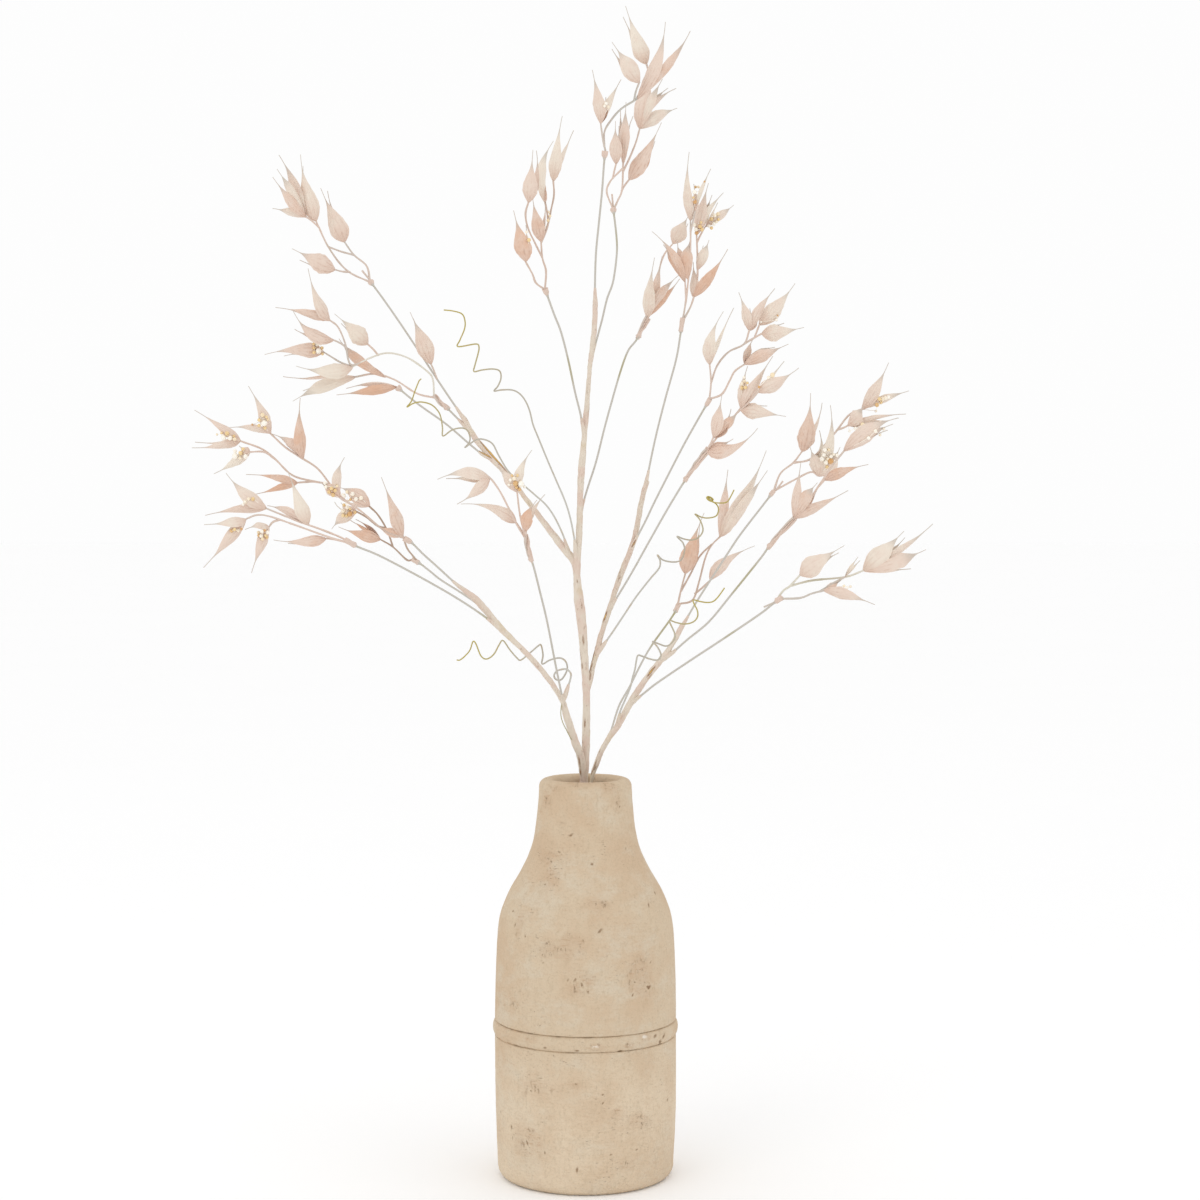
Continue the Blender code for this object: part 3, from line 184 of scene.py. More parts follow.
SPRIGS = {
    "sprig_left_low": Sprig("left_arm", -60, 14, [
        (504, 631), (481, 614), (455, 597), (420, 577), (380, 556), (357, 546.5), (345, 540)], [
        (8, [(350, 543), (340, 537), (320, 529), (300, 522), (280, 514), (266.5, 508.5)]),
        (-8, [(352, 543.5), (330, 537.5), (295, 525), (270, 516.5), (257, 515), (246, 519)]),
        (-4, [(280, 519), (273, 522), (269, 527)]),
        (2, [(345, 541), (335, 539.5), (326, 538.5)])], [
        Husk((266.5, 508.5), [(226, 473, 249, 497, 13, 0.5), (205, 516, 247, 509, 11, 0.9)], 6, [
            (245, 502, 4, 0.3), (243, 504.5, 3, 0), (248.5, 499, 3.5, 0.4), (253, 499, 4, 1.2)]),
        Husk((309, 522), [(288, 472, 302, 509, 14, 0.3), (267, 506, 288, 512.5, 11, 1.0)], 12),
        Husk((246, 519), [(204, 524.5, 235, 521.5, 11, 0.5), (203.5, 567.5, 233, 535, 13, 0.8)], -8, [
            (234.5, 529.5, 3.5, 1), (238, 530.5, 3.5, 0.4), (241.5, 529, 3, 1.8), (231.5, 531, 3.5, 1.5)]),
        Husk((269.5, 527), [(245, 529.5, 261, 525.5, 9, 0.4), (251.5, 573, 263, 541, 12, 0.9)], -12, [
            (258.5, 532.5, 3.5, 0.6), (262, 531.5, 3.5, 0.2), (264.5, 530.5, 3, 1.8),
            (267.5, 532.5, 4, 0), (261, 536, 4, 0.2), (265.5, 535.5, 3.5, 0.8),
            (258.5, 535.5, 3, 1.6), (262.5, 539, 3.5, 0.6), (267, 537.5, 3.5, 1.4)]),
        Husk((326, 539), [(273.5, 540, 312, 541, 10, 1.1), (288, 543.5, 312, 543, 7, 1.3)], 4)]),
    "sprig_left_mid": Sprig("left_arm", -22, 10, [
        (467, 592), (455, 583), (443, 572), (432, 562), (422, 553), (412, 543), (404, 538)], [
        (-4, [(404, 538), (385, 531), (362, 512), (345, 500), (330, 484)]),
        (-14, [(330, 484), (317, 468), (300, 457), (285, 447), (270.5, 433.5)]),
        (10, [(330, 484), (312, 481), (292, 475), (275, 459), (262, 449), (240.5, 441)]),
        (4, [(275, 459), (264, 452), (249.5, 452)]),
        (14, [(315, 482), (306, 482), (297.5, 482.7)]),
        (-12, [(347, 502), (343, 500), (339, 497)])], [
        Husk((240.5, 441), [(194.5, 410, 229, 432.5, 9, 0.9), (191.5, 448.5, 227, 444.5, 10, 0.8),
                            (195, 442, 225, 443, 6, 0.5)], 6, [
            (223.5, 437.5, 5.5, 0), (227, 433.5, 4.5, 1.2), (230, 438, 5, 0.1), (234.5, 439, 4, 0.5),
            (234, 436, 3, 1.4), (217, 434.5, 2.5, 0.5), (221.5, 433, 3, 0.8)]),
        Husk((250, 452), [(239, 445.5, 245, 450, 8, 1.2), (214, 474, 237, 461, 9, 0.1)], 8, [
            (235, 456, 6, 0), (240.5, 453, 4.5, 0.9), (245.5, 456.5, 5, 0), (235, 451, 4, 0.1),
            (243, 449, 3.5, 0.9), (240, 458, 3.5, 0.4)]),
        Husk((270, 433.5), [(248.5, 386, 264.5, 417, 11, 0.5), (229, 428, 254, 428.5, 8, 0.6)], -8, [
            (264, 423, 6.5, 0), (259, 420, 3.5, 1), (262.5, 415, 4.5, 0.6), (259, 425.5, 3.5, 1.1),
            (266.5, 417, 3, 0.8), (265, 428, 3.5, 1), (252.3, 424.5, 2.2, 1.8), (268, 419.5, 3, 0.7)]),
        Husk((304.5, 457), [(300.5, 398, 300, 438, 12, 1.6), (272, 434, 292, 444.5, 12, 1.2)], -10),
        Husk((297.5, 482.7), [(246, 474.5, 284, 479, 7, 1.5), (253, 494.5, 284, 487, 10, 2)], 12),
        Husk((339, 498), [(344.5, 457.5, 337, 478, 9, 0.5), (319, 482, 331, 490, 15, 1.3)], -8, [
            (326, 487, 4, 0.2), (331.5, 488.5, 4, 1.1), (335, 490.5, 4, 1.2), (329, 492, 4, 1.3),
            (333, 495, 4.5, 1.4), (325, 483, 4, 0.1), (337, 486, 3, 0.6)])]),
    "sprig_left_inner": Sprig("left_arm", 32, 10, [
        (497, 624), (484, 609), (463, 594), (441, 580), (431, 572), (422, 565), (413, 559)], [
        (8, [(413, 559), (407, 560), (393, 547), (380.5, 539.5)]),
        (-8, [(418, 562), (413, 556), (407, 548), (403, 536)]),
        (0, [(393, 547), (387, 530), (378, 515), (369.5, 506.5)]),
        (12, [(386, 528), (378, 526), (366, 517), (356.5, 511.5)])], [
        Husk((369.5, 506.5), [(337.5, 487, 356, 494.5, 13, 1.2), (341, 499, 356, 505, 10, 0.7)], 6, [
            (343, 496, 6, 0), (352.5, 494, 4.5, 0.2), (356, 499, 4.5, 0.1), (347.5, 502, 5, 0.2),
            (350.5, 499.5, 3, 1.6), (347, 492, 3.5, 0.5), (361, 498, 4.5, 0.3)]),
        Husk((356.5, 511), [(331.5, 529.5, 343, 518, 11, 0.7), (341, 503, 348, 508, 9, 1.1),
                            (335, 502, 345, 511, 4, 0.2)], 10, [
            (344, 505, 3.5, 1.3), (347.5, 507.5, 4.5, 0.3), (343, 511, 4.5, 0.4), (350, 514, 5.5, 1.7),
            (355, 512.5, 3.5, 1.3), (346.5, 516, 3.5, 0.9), (350, 509, 3, 1.1), (343, 515.5, 4, 0.8)]),
        Husk((380.5, 539.5), [(338.5, 527, 367, 536.5, 11, 1.5), (350.5, 519.5, 365, 529, 9, 1.8),
                              (356, 519, 372, 530, 8, 1.3)], 10),
        Husk((404, 535.5), [(381.5, 477, 397, 519, 13, 1.1), (374, 524.5, 392, 533, 11, 1.5)], -8)]),
    "sprig_left_upper": Sprig("upper_left_arm", 70, 22, [
        (473, 434), (464, 425), (456, 417), (448, 409), (434, 396)], [
        (-6, [(434, 396), (433, 380), (428, 372), (408, 358), (388, 353), (370, 358), (352, 367)]),
        (6, [(436, 398), (417, 393.5), (395, 380), (375, 374), (355, 377)]),
        (-14, [(360, 362), (350, 364), (345, 343), (338, 327), (329.5, 320)]),
        (-4, [(352, 366), (340, 362), (330, 356), (323.5, 352)]),
        (-10, [(346, 347), (340, 343), (333.5, 340)]),
        (-2, [(378, 354), (373, 349), (367.5, 344)])], [
        Husk((329.5, 321), [(308, 268.5, 322, 309, 12, 0.7), (275.5, 307.5, 315, 315.5, 10, 1.3)], -8),
        Husk((333, 340.5), [(293, 310.5, 316, 336, 12, 1), (294.5, 329.5, 312, 337, 8, 1.2)], -4),
        Husk((323.5, 352), [(264.5, 354.5, 308, 350, 13, 0.9), (284, 356, 308, 352, 9, 0.8)], 6, [
            (317, 344, 5.5, 0), (318.5, 351, 6, 0), (314, 348, 3.5, 1.3), (322, 348, 3.5, 1.2),
            (314, 352.5, 3.5, 1), (322.5, 354, 3, 0.9), (321, 343.5, 3, 0.9), (313.5, 344, 3, 1.1)]),
        Husk((367.5, 344.5), [(334.5, 314, 358, 334.5, 16, 0.3), (341, 323.5, 356, 337, 11, 0.7)], -6),
        Husk((353, 368), [(296, 366, 333, 371, 14, 0.2), (283, 376.5, 319, 377.5, 9, 1)], -8),
        Husk((355, 377.5), [(293, 401, 321, 387, 12, 0.1), (303, 391, 335, 381, 13, 0.3)], 8),
        Husk((386, 376), [(339, 339, 354, 356, 9, 1.4), (347, 367, 367, 367, 7, 1.1)], 10)]),
    "sprig_left_single": Sprig("upper_left_arm", 46, 6, [
        (494, 461), (482, 454), (470, 444.5), (446, 424), (418, 404), (397, 387)], [
        ], [
        Husk((397, 387), [(336.5, 395, 373, 390.5, 9, 1.8), (346, 388, 374, 384, 11, 1)], -6)]),
    "sprig_left_top": Sprig("upper_left_arm", 105, 6, [
        (465, 421), (449, 397), (435, 376), (418, 350), (400, 323), (384, 300), (370, 281)], [
        (-6, [(371, 283), (347, 270.5), (329, 248), (316, 221)]),
        (8, [(370, 281), (366.6, 266), (354, 255), (344.5, 242)]),
        (-4, [(354, 255), (341, 251.5), (329, 247)]),
        (-12, [(350, 272), (342, 271.5), (334.5, 269.5)]),
        (0, [(369, 280), (362, 270.5)]),
        (-10, [(319, 228), (312, 221), (306, 217)]),
        (-34, [(437, 379), (434.5, 372), (431, 364)])], [
        Husk((315.5, 220.5), [(300.5, 154.5, 310, 204, 15, 0.3), (303, 166, 308, 203, 10, 0.5)], 6),
        Husk((304, 216), [(273, 177, 293, 203, 11, 1.3), (272.5, 208.5, 291, 212.5, 9, 0.6),
                          (279, 155, 295.5, 186, 13, 0.7), (277, 169, 290, 189, 7, 0.3)], -8),
        Husk((344.5, 242), [(320.5, 188, 338.5, 229, 17, 0.7), (328, 191, 336, 223, 11, 1)], 8),
        Husk((335, 269.5), [(292, 248.5, 320, 262.5, 17, 0.9), (299.5, 260.5, 318, 267, 12, 1.2)], -6),
        Husk((431, 364), [(410, 312, 424, 345, 15, 0.8), (413, 318, 425, 346, 11, 1)], -8)]),
    "sprig_front": Sprig("left_arm", -85, 34, [
        (565, 708), (556, 667), (547, 621), (540, 592), (534, 568), (530, 556), (525, 535)], [
        (-8, [(526, 540), (515, 521), (502, 495), (492, 480), (484.5, 473.5)]),
        (2, [(525, 536), (520, 515), (517, 491)]),
        (6, [(526, 538), (520, 528), (515, 521)]),
        (-4, [(526, 538), (526, 531)])], [
        Husk((489, 479), [(437.5, 479.5, 469, 472.5, 12, 0.6), (457, 504, 480.5, 488, 13, 0.8),
                          (446, 478, 473, 478, 9, 0.5)], -6),
        Husk((517, 521.5), [(461, 504, 504, 513.5, 11, 0.6), (479, 505.5, 505, 516, 9, 0.9)], 8),
        Husk((517, 492), [(532, 450, 519.5, 474, 9, 0.4), (498, 466, 508, 480, 12, 0.6)], 4, [
            (515.5, 483.5, 5.5, 1.6), (519.5, 489.5, 4, 1.6), (521, 484, 6.5, 0), (514, 478.5, 4.5, 0.4),
            (512, 475.5, 3, 1.4), (517.5, 475.5, 3, 1.1), (510.5, 480, 3.5, 0.1),
            (516.5, 487.5, 3.5, 1.5), (524.5, 487, 3, 0), (509, 485, 3, 0.2)]),
        Husk((527, 530.5), [(537, 500, 526.5, 519, 11, 1.7), (545.5, 494.5, 531.5, 515, 8, 0.4)], -8)]),
    "sprig_crown_left": Sprig("trunk", -35, 8, [
        (584.7, 434), (580, 412), (575, 392), (568, 359), (561, 332), (554, 314), (545, 289)], [
        (-6, [(545, 290), (536, 283), (532.4, 274), (525.5, 261.5)]),
        (8, [(545, 289), (546, 271), (542.4, 258), (541, 241)]),
        (-10, [(542.4, 258), (535, 243), (528, 228), (525.5, 214), (528.5, 202)]),
        (14, [(542, 243), (547, 228), (551, 210), (554, 195), (553.3, 181)]),
        (4, [(548.5, 222), (547, 212), (545.2, 202.5)])], [
        Husk((524.5, 261.5), [(513.3, 210.5, 522, 246, 16, 1.6), (526, 225, 527, 245, 9, 1)], -6, [
            (526.5, 232, 3, 0.3), (529, 240, 4, 1)]),
        Husk((541, 241.5), [(532.5, 196, 537.5, 226, 12, 1.3), (545.5, 202, 543.5, 226, 8, 1)], 6, [
            (548.5, 212, 3, 0.5), (550, 216, 3, 0.6), (548, 220.5, 3, 0.7)]),
        Husk((529, 202.5), [(533, 150, 530, 187, 13, 0.9), (536.5, 150.5, 535, 185, 8, 0.9)], -8),
        Husk((545.5, 202.5), [(553.5, 141, 541.5, 170, 9, 0.2), (540.5, 175, 545.5, 191, 11, 1.6)], 4),
        Husk((553.5, 181), [(562, 115.5, 555, 163, 12, 0.4), (574, 130.5, 561.5, 160, 9, 0.6)], 10)]),
    "sprig_crown_mid": Sprig("trunk", -5, 8, [
        (595.4, 306), (595, 284), (596, 253), (599, 222), (602, 192), (604, 164), (605.5, 151)], [
        (-4, [(605.5, 151), (603, 140), (600.6, 123)]),
        (6, [(604, 146), (604.4, 132), (610.5, 121), (621, 109), (637, 99)]),
        (12, [(636, 100), (641, 90), (645, 80), (648, 72), (646.5, 64)]),
        (-6, [(634, 101), (636, 91), (639.5, 82)])], [
        Husk((600.5, 123.5), [(592, 70, 598.5, 104, 12, 0.6), (621, 79.5, 608.5, 104, 9, 0.4),
                              (606, 97, 604, 112, 9, 1.7)], -6, [
            (606, 103.5, 3.5, 0.1), (608.5, 107, 3, 0.4), (604.5, 106, 3, 0.2)]),
        Husk((645, 63), [(625.5, 6.5, 640.5, 49, 15, 0.2), (623, 17, 637, 46, 10, 0.5)], 8),
        Husk((639.5, 82.5), [(612, 42, 630, 68.5, 15, 0.5), (612, 49, 628, 71, 11, 0.7)], -8),
        Husk((637, 99), [(665.5, 22, 654.5, 68, 13, 0.8), (690, 31, 671, 62, 10, 1.3)], 6)]),
    "sprig_crown_right": Sprig("trunk", 50, 6, [
        (591, 360), (596, 342), (602, 320), (607, 299), (613, 282), (616.6, 256), (616.6, 238),
        (613.2, 208)], [
        (-6, [(613.2, 210), (606.7, 192), (610.5, 181), (617, 174), (623, 168)]),
        (6, [(613.2, 210), (618, 200), (622, 190), (623, 168), (623.5, 148)]),
        (-2, [(613, 179), (614, 172), (616, 164)]),
        (10, [(621, 191), (625, 185), (629.2, 179.5)]),
        (12, [(623, 172), (629.6, 158), (636, 142), (639.7, 128.5)]),
        (0, [(613.2, 208), (612, 194)])], [
        Husk((639.7, 128.5), [(655, 68, 643, 105, 17, 0.9), (678, 108.5, 658, 117, 13, 0.3)], 8),
        Husk((641, 126), [(662.5, 79, 651.5, 100, 9, 0.3), (676, 88, 656, 102, 8, 0.9),
                          (668, 88, 655, 100, 6, 0.6)], -8),
        Husk((616, 164), [(615.5, 121, 615.5, 148, 11, 0.9), (619, 126, 618, 148, 8, 1.2)], -6),
        Husk((629.5, 180), [(661.5, 122.5, 639.5, 164, 14, 1.1), (655, 141, 643, 166, 8, 1.5)], 6),
        Husk((623.3, 164), [(626, 102, 624.5, 132, 9, 0.9), (633, 116, 627, 134, 7, 0.5),
                            (620, 108, 621, 132, 6, 0.8)], 0)]),
    "sprig_upper_right_back": Sprig("trunk", 85, 26, [
        (580.3, 515), (587, 490), (596, 462), (604, 430), (610.5, 406), (620, 373), (628, 351),
        (637, 339), (647.5, 318)], [
        (8, [(647, 318), (657, 300), (659, 272), (664, 255), (673, 243.5)])], [
        Husk((648, 319), [(654.5, 257.5, 648.5, 299, 12, 0.4), (679, 275, 662, 293, 10, 1.2)], -6),
        Husk((649, 317), [(662, 256, 655, 289, 9, 1.2), (680.5, 279, 664, 299, 9, 1.8)], 8),
        Husk((673, 243.5), [(689, 215, 679.5, 232, 14, 0.4), (688, 224, 681, 236, 10, 0.8)], 6)]),
    "sprig_upper_right": Sprig("upper_right_arm", 58, 16, [
        (645.5, 488), (655, 440), (665, 400), (676, 360), (680.5, 334), (683, 318)], [
        (-6, [(682.5, 322), (686, 300), (689, 272), (690.5, 245), (690.5, 220.5)]),
        (6, [(682.5, 322), (692, 303), (697, 280), (697.5, 260), (696.6, 235)]),
        (-2, [(686, 299), (685, 282)]),
        (-10, [(690.5, 232), (693, 221), (695, 211)]),
        (12, [(697, 243), (700, 236), (705, 227)])], [
        Husk((685, 282), [(652, 231.5, 676, 259, 7, 1.5), (664, 244, 673, 258, 11, 1.7)], -8),
        Husk((686, 279), [(691, 238, 687, 257, 12, 1.4), (677, 241, 680, 257, 11, 1.3)], 4),
        Husk((690.5, 221), [(689.3, 152, 687.5, 198, 9, 0.3), (702, 186, 696, 204, 9, 0.8)], -6, [
            (694.5, 192, 4.5, 0), (698, 196.5, 3.5, 0.3), (695.5, 187, 3, 1.5), (698.5, 187, 3, 0.5),
            (702, 188.5, 2.5, 1.6), (700, 191.5, 3, 1.1), (695, 202, 4, 1.8), (693.5, 197.5, 2.5, 1.2)]),
        Husk((695, 211), [(711, 169, 702, 189, 4, 0.2), (693.5, 184, 695, 200, 7, 0.9)], -4, [
            (704.5, 181.5, 2, 1.8)]),
        Husk((696.6, 235), [(708.5, 183, 701, 213, 11, 0.7), (724, 193, 709, 211, 8, 0.3),
                            (712, 195, 705, 214, 8, 0.6)], 6, [
            (694.5, 225, 4, 0.2), (696, 229.5, 4, 0.2), (696.5, 233, 4, 1.8), (700, 226.5, 4, 1.3),
            (702, 229.5, 4, 1.2), (701, 222.5, 3, 0.9)]),
        Husk((705, 227), [(734, 205, 722, 214.5, 7, 0.4), (718, 203, 712, 214, 4, 0.3)], 10, [
            (711.5, 219, 4, 1.2), (714.5, 215.5, 4.5, 0.3), (718, 214, 4, 0.6), (718.5, 219.5, 3, 1),
            (714, 224, 4, 0), (711.5, 228, 3.5, 1.2), (709, 226, 3.5, 0), (716.5, 222, 3, 0.4)]),
        Husk((697.4, 270), [(709, 240, 704, 254, 9, 0.3), (703, 246, 700, 258, 8, 0.5)], 8),
        Husk((695, 297.5), [(728, 249, 706, 282, 10, 1.8), (693, 262, 693.5, 283, 11, 0.7)], 6)]),
    "sprig_right_upper": Sprig("upper_right_arm", -15, 10, [
        (632, 550), (645, 522), (656, 499), (680, 452), (692, 430), (704, 409), (710, 399)], [
        (-4, [(709, 400), (711, 382), (709.6, 364)]),
        (6, [(711, 384), (717, 366), (728.5, 352), (744, 344), (749.4, 330)]),
        (10, [(744, 344), (754, 338), (762, 333.5)]),
        (-6, [(709, 399), (722, 394), (730, 380), (735, 371), (745, 364)]),
        (14, [(754, 337), (757, 331), (759.5, 324.5)])], [
        Husk((709, 364.5), [(723.5, 311.5, 709, 348, 12, 0.4), (734, 308, 717, 345, 12, 0.2)], -6),
        Husk((749, 330.5), [(739, 292.5, 746, 315, 9, 0.6), (775, 288.5, 758, 313, 11, 0.7),
                            (750, 308, 750.5, 321, 12, 0.8)], 6),
        Husk((760, 325), [(795, 283.5, 773, 311, 14, 0.4), (778, 304, 770, 317, 9, 0.6)], 8, [
            (776.5, 320, 3, 0.1), (777.5, 315.5, 2, 1.8), (761, 322, 2.5, 0)]),
        Husk((762, 334), [(804, 327.5, 775, 332.5, 15, 0.4), (785, 334, 772, 337.5, 6, 1.5),
                          (784, 323, 772, 328, 8, 0.3)], 6),
        Husk((745, 365), [(788.5, 344, 762, 356, 11, 1.3), (775, 347, 761, 351, 7, 0.3),
                          (753, 338, 747, 352, 9, 1)], -8)]),
    "sprig_right_mid": Sprig("upper_right_arm", -55, 46, [
        (609, 611), (631, 574), (650, 540), (667, 510), (684, 482), (696, 465), (708, 449)], [
        (-4, [(707, 451), (711, 443), (713.5, 437)]),
        (4, [(707, 451), (722, 431), (732, 419), (740.5, 408.5)]),
        (-8, [(737, 413), (749, 402), (758.5, 391.5)])], [
        Husk((741, 409), [(773, 356, 752, 390, 11, 0.9), (747.5, 366, 742, 390, 12, 0.7)], -4, [
            (744.5, 381.5, 3.5, 0.5), (742, 384, 4, 0.4), (747.5, 383, 3, 1.2), (742, 388, 4, 1.2),
            (745.5, 387.5, 3.5, 1), (744, 377.5, 3, 0.3)]),
        Husk((757.5, 392), [(799, 368, 772, 385.5, 14, 0.7), (784, 361, 772, 376, 4, 0.1)], -8, [
            (772.5, 375, 5, 0.6), (768.5, 377.5, 3.5, 0.3), (759, 387, 3, 1.8)]),
        Husk((741, 410), [(786, 416.5, 754, 411.5, 14, 0.5), (767, 405.5, 753, 406.5, 8, 0.7)], 8),
        Husk((713.5, 437.5), [(722, 394, 717, 422, 12, 1.1), (740, 410, 729, 423, 12, 1.3),
                              (731, 409, 723, 428, 12, 1.4)], -6),
        Husk((708, 452), [(758, 428, 720, 451.5, 13, 1.1), (733, 439, 718, 447, 9, 1.3)], 6)]),
    "sprig_right_outer": Sprig("right_arm", 15, 8, [
        (679, 632), (694, 606), (704, 590), (726, 556), (740, 535), (760, 509), (774, 491)], [
        (8, [(774, 492), (780.4, 473.5), (793, 463), (802, 451.5)]),
        (0, [(774, 491), (796, 479), (811, 472), (818, 476)]),
        (-6, [(793, 463), (812, 458), (834, 434), (849, 415), (862.5, 409)]),
        (-10, [(838, 430), (843, 428), (848, 425.5)]),
        (0, [(776, 489), (783, 481)])], [
        Husk((803, 451.5), [(810.5, 393, 806, 436, 16, 1.2), (823, 403, 814.5, 430, 8, 0.7)], 8),
        Husk((818, 478), [(830.5, 405, 829, 449, 11, 0.2), (810, 447, 815, 463, 15, 0.7),
                          (820, 430, 822, 457, 10, 0.1), (840, 447, 831, 463, 14, 0.6)], -4, [
            (825, 450, 4.5, 0), (829, 450, 3, 0.6), (833.5, 454.5, 3.5, 0.2), (837, 455.5, 4, 0),
            (822, 459, 5, 0.1), (830.5, 461, 6.5, 1.8), (826, 462.5, 5, 0.2), (835, 461.5, 4, 0.1),
            (827, 467, 3.5, 1.2), (831, 456.5, 4, 0.1), (824, 455, 4, 0), (828, 459, 4, 0.4)]),
        Husk((862, 409.5), [(888.5, 362.5, 873, 393, 12, 0.7), (909, 391, 886, 398.5, 9, 0.4)], -6, [
            (877, 405, 4.5, 1.5), (879.5, 399, 4, 1.1), (882.5, 399, 4.5, 0.4), (885.5, 398, 4.5, 0.3),
            (888.5, 397, 4, 0), (881, 402.5, 3.5, 0.9), (876, 411, 3, 0)]),
        Husk((849, 427), [(864, 406, 857, 416, 13, 0.8), (906, 414.5, 872, 418.5, 7, 0.8),
                          (898, 418, 871, 424, 9, 0.6)], -4, [
            (855.5, 428.5, 4, 0), (862.5, 424.5, 4.5, 0.6), (849.5, 431, 3, 0.1), (880.5, 422, 3, 0)])]),
    "sprig_right_pink": Sprig("right_arm", -40, 41, [
        (660, 660), (672, 653), (687.5, 639.5), (709, 621.6), (731, 595), (760, 559), (768, 548),
        (780, 534), (794.5, 517.5)], [
        (-4, [(794, 519), (808, 502), (820, 484), (832, 466), (844, 451)]),
        (6, [(818, 488), (824.5, 480)])], [
        Husk((845, 450.5), [(899, 418, 866, 431, 13, 0.8), (888, 431, 863, 441, 11, 0.4)], -6, [
            (875.5, 431, 4, 0.2), (868.5, 438, 4, 0.1), (880, 435, 3, 0.4), (884, 429, 3, 0.3)]),
        Husk((845, 450), [(893, 424, 867, 436, 12, 0.6), (876, 421, 860, 430, 9, 0.8)], 6),
        Husk((825, 480), [(868.5, 464.5, 837, 474, 10, 1.4), (850, 467, 837, 471.5, 7, 1)], 6),
        Husk((794.5, 519), [(801, 461, 796.5, 496, 9, 0.9), (848, 490.5, 812, 509.5, 11, 1.1)], 4),
        Husk((796, 517), [(817, 483, 806, 497, 11, 1.3), (818, 488, 810, 502, 5, 1.4)], -6)]),
    "sprig_right_low": Sprig("right_arm", -85, 10, [
        (629, 705), (643, 694), (657, 683), (688, 662), (726, 637), (760, 614), (774, 603),
        (782, 598)], [
        (-4, [(775, 602), (783, 591), (790, 586), (800, 575)]),
        (4, [(790, 586), (812, 580.5), (845, 577), (863.5, 570.5)]),
        (-6, [(781, 599), (800, 598), (812, 593.5), (824, 590.5)]),
        (0, [(775, 602), (764, 607)]),
        (-8, [(820, 592), (832, 584), (845, 577)])], [
        Husk((800.5, 575.5), [(844.5, 545.5, 812, 566, 18, 0.5), (839, 553, 820, 563, 12, 0.3)], -8),
        Husk((863.5, 571), [(904, 531, 880, 555, 18, 0.2), (933, 524, 902, 549, 12, 0.4),
                            (905, 537.5, 886, 556, 9, 0.4)], 4),
        Husk((865, 571.5), [(926, 549.5, 899, 560.5, 14, 0.7), (911, 569, 885, 570.5, 9, 0.4),
                            (889, 564.5, 875, 568, 7, 1.4)], -6),
        Husk((823.5, 591), [(875, 604.5, 843, 594, 12, 0.7), (841, 580, 832, 586, 8, 1.3)], -6, [
            (844, 586, 3, 0.5), (850.5, 586.5, 3, 0.3), (847.5, 587.5, 3, 0.1)]),
        Husk((845, 577), [(858, 557, 851, 567, 3, 0.2), (860, 561, 853, 568, 3, 0.2)], 0)]),
    "sprig_right_inner": Sprig("right_arm", 75, 12, [
        (604, 746), (611, 731), (619, 706), (630, 686), (641, 664), (652, 645), (672, 617),
        (679, 604)], [
        (8, [(679, 604), (692.6, 600), (699, 582), (705, 559), (711, 546), (720.7, 536)]),
        (-6, [(677, 607), (681, 590), (685.3, 573.5)]),
        (-10, [(695, 594), (702, 588), (710.5, 580)]),
        (0, [(681, 592), (691, 573), (700, 556), (712, 544)])], [
        Husk((720, 537), [(766.5, 450.5, 739, 508, 15, 0.4), (727.5, 469.5, 723, 506, 12, 1.2)], 6),
        Husk((720.5, 536), [(767.5, 470.5, 745, 503, 9, 0.6), (740, 496, 729, 520, 17, 0.4)], -8),
        Husk((686, 573.5), [(704, 513, 688.5, 558, 15, 1.5), (700, 522, 693, 557, 9, 1.3)], -6),
        Husk((710.5, 580), [(755, 546, 720, 567, 12, 0.9), (740, 552, 724, 563, 8, 0.3)], -8)]),
}

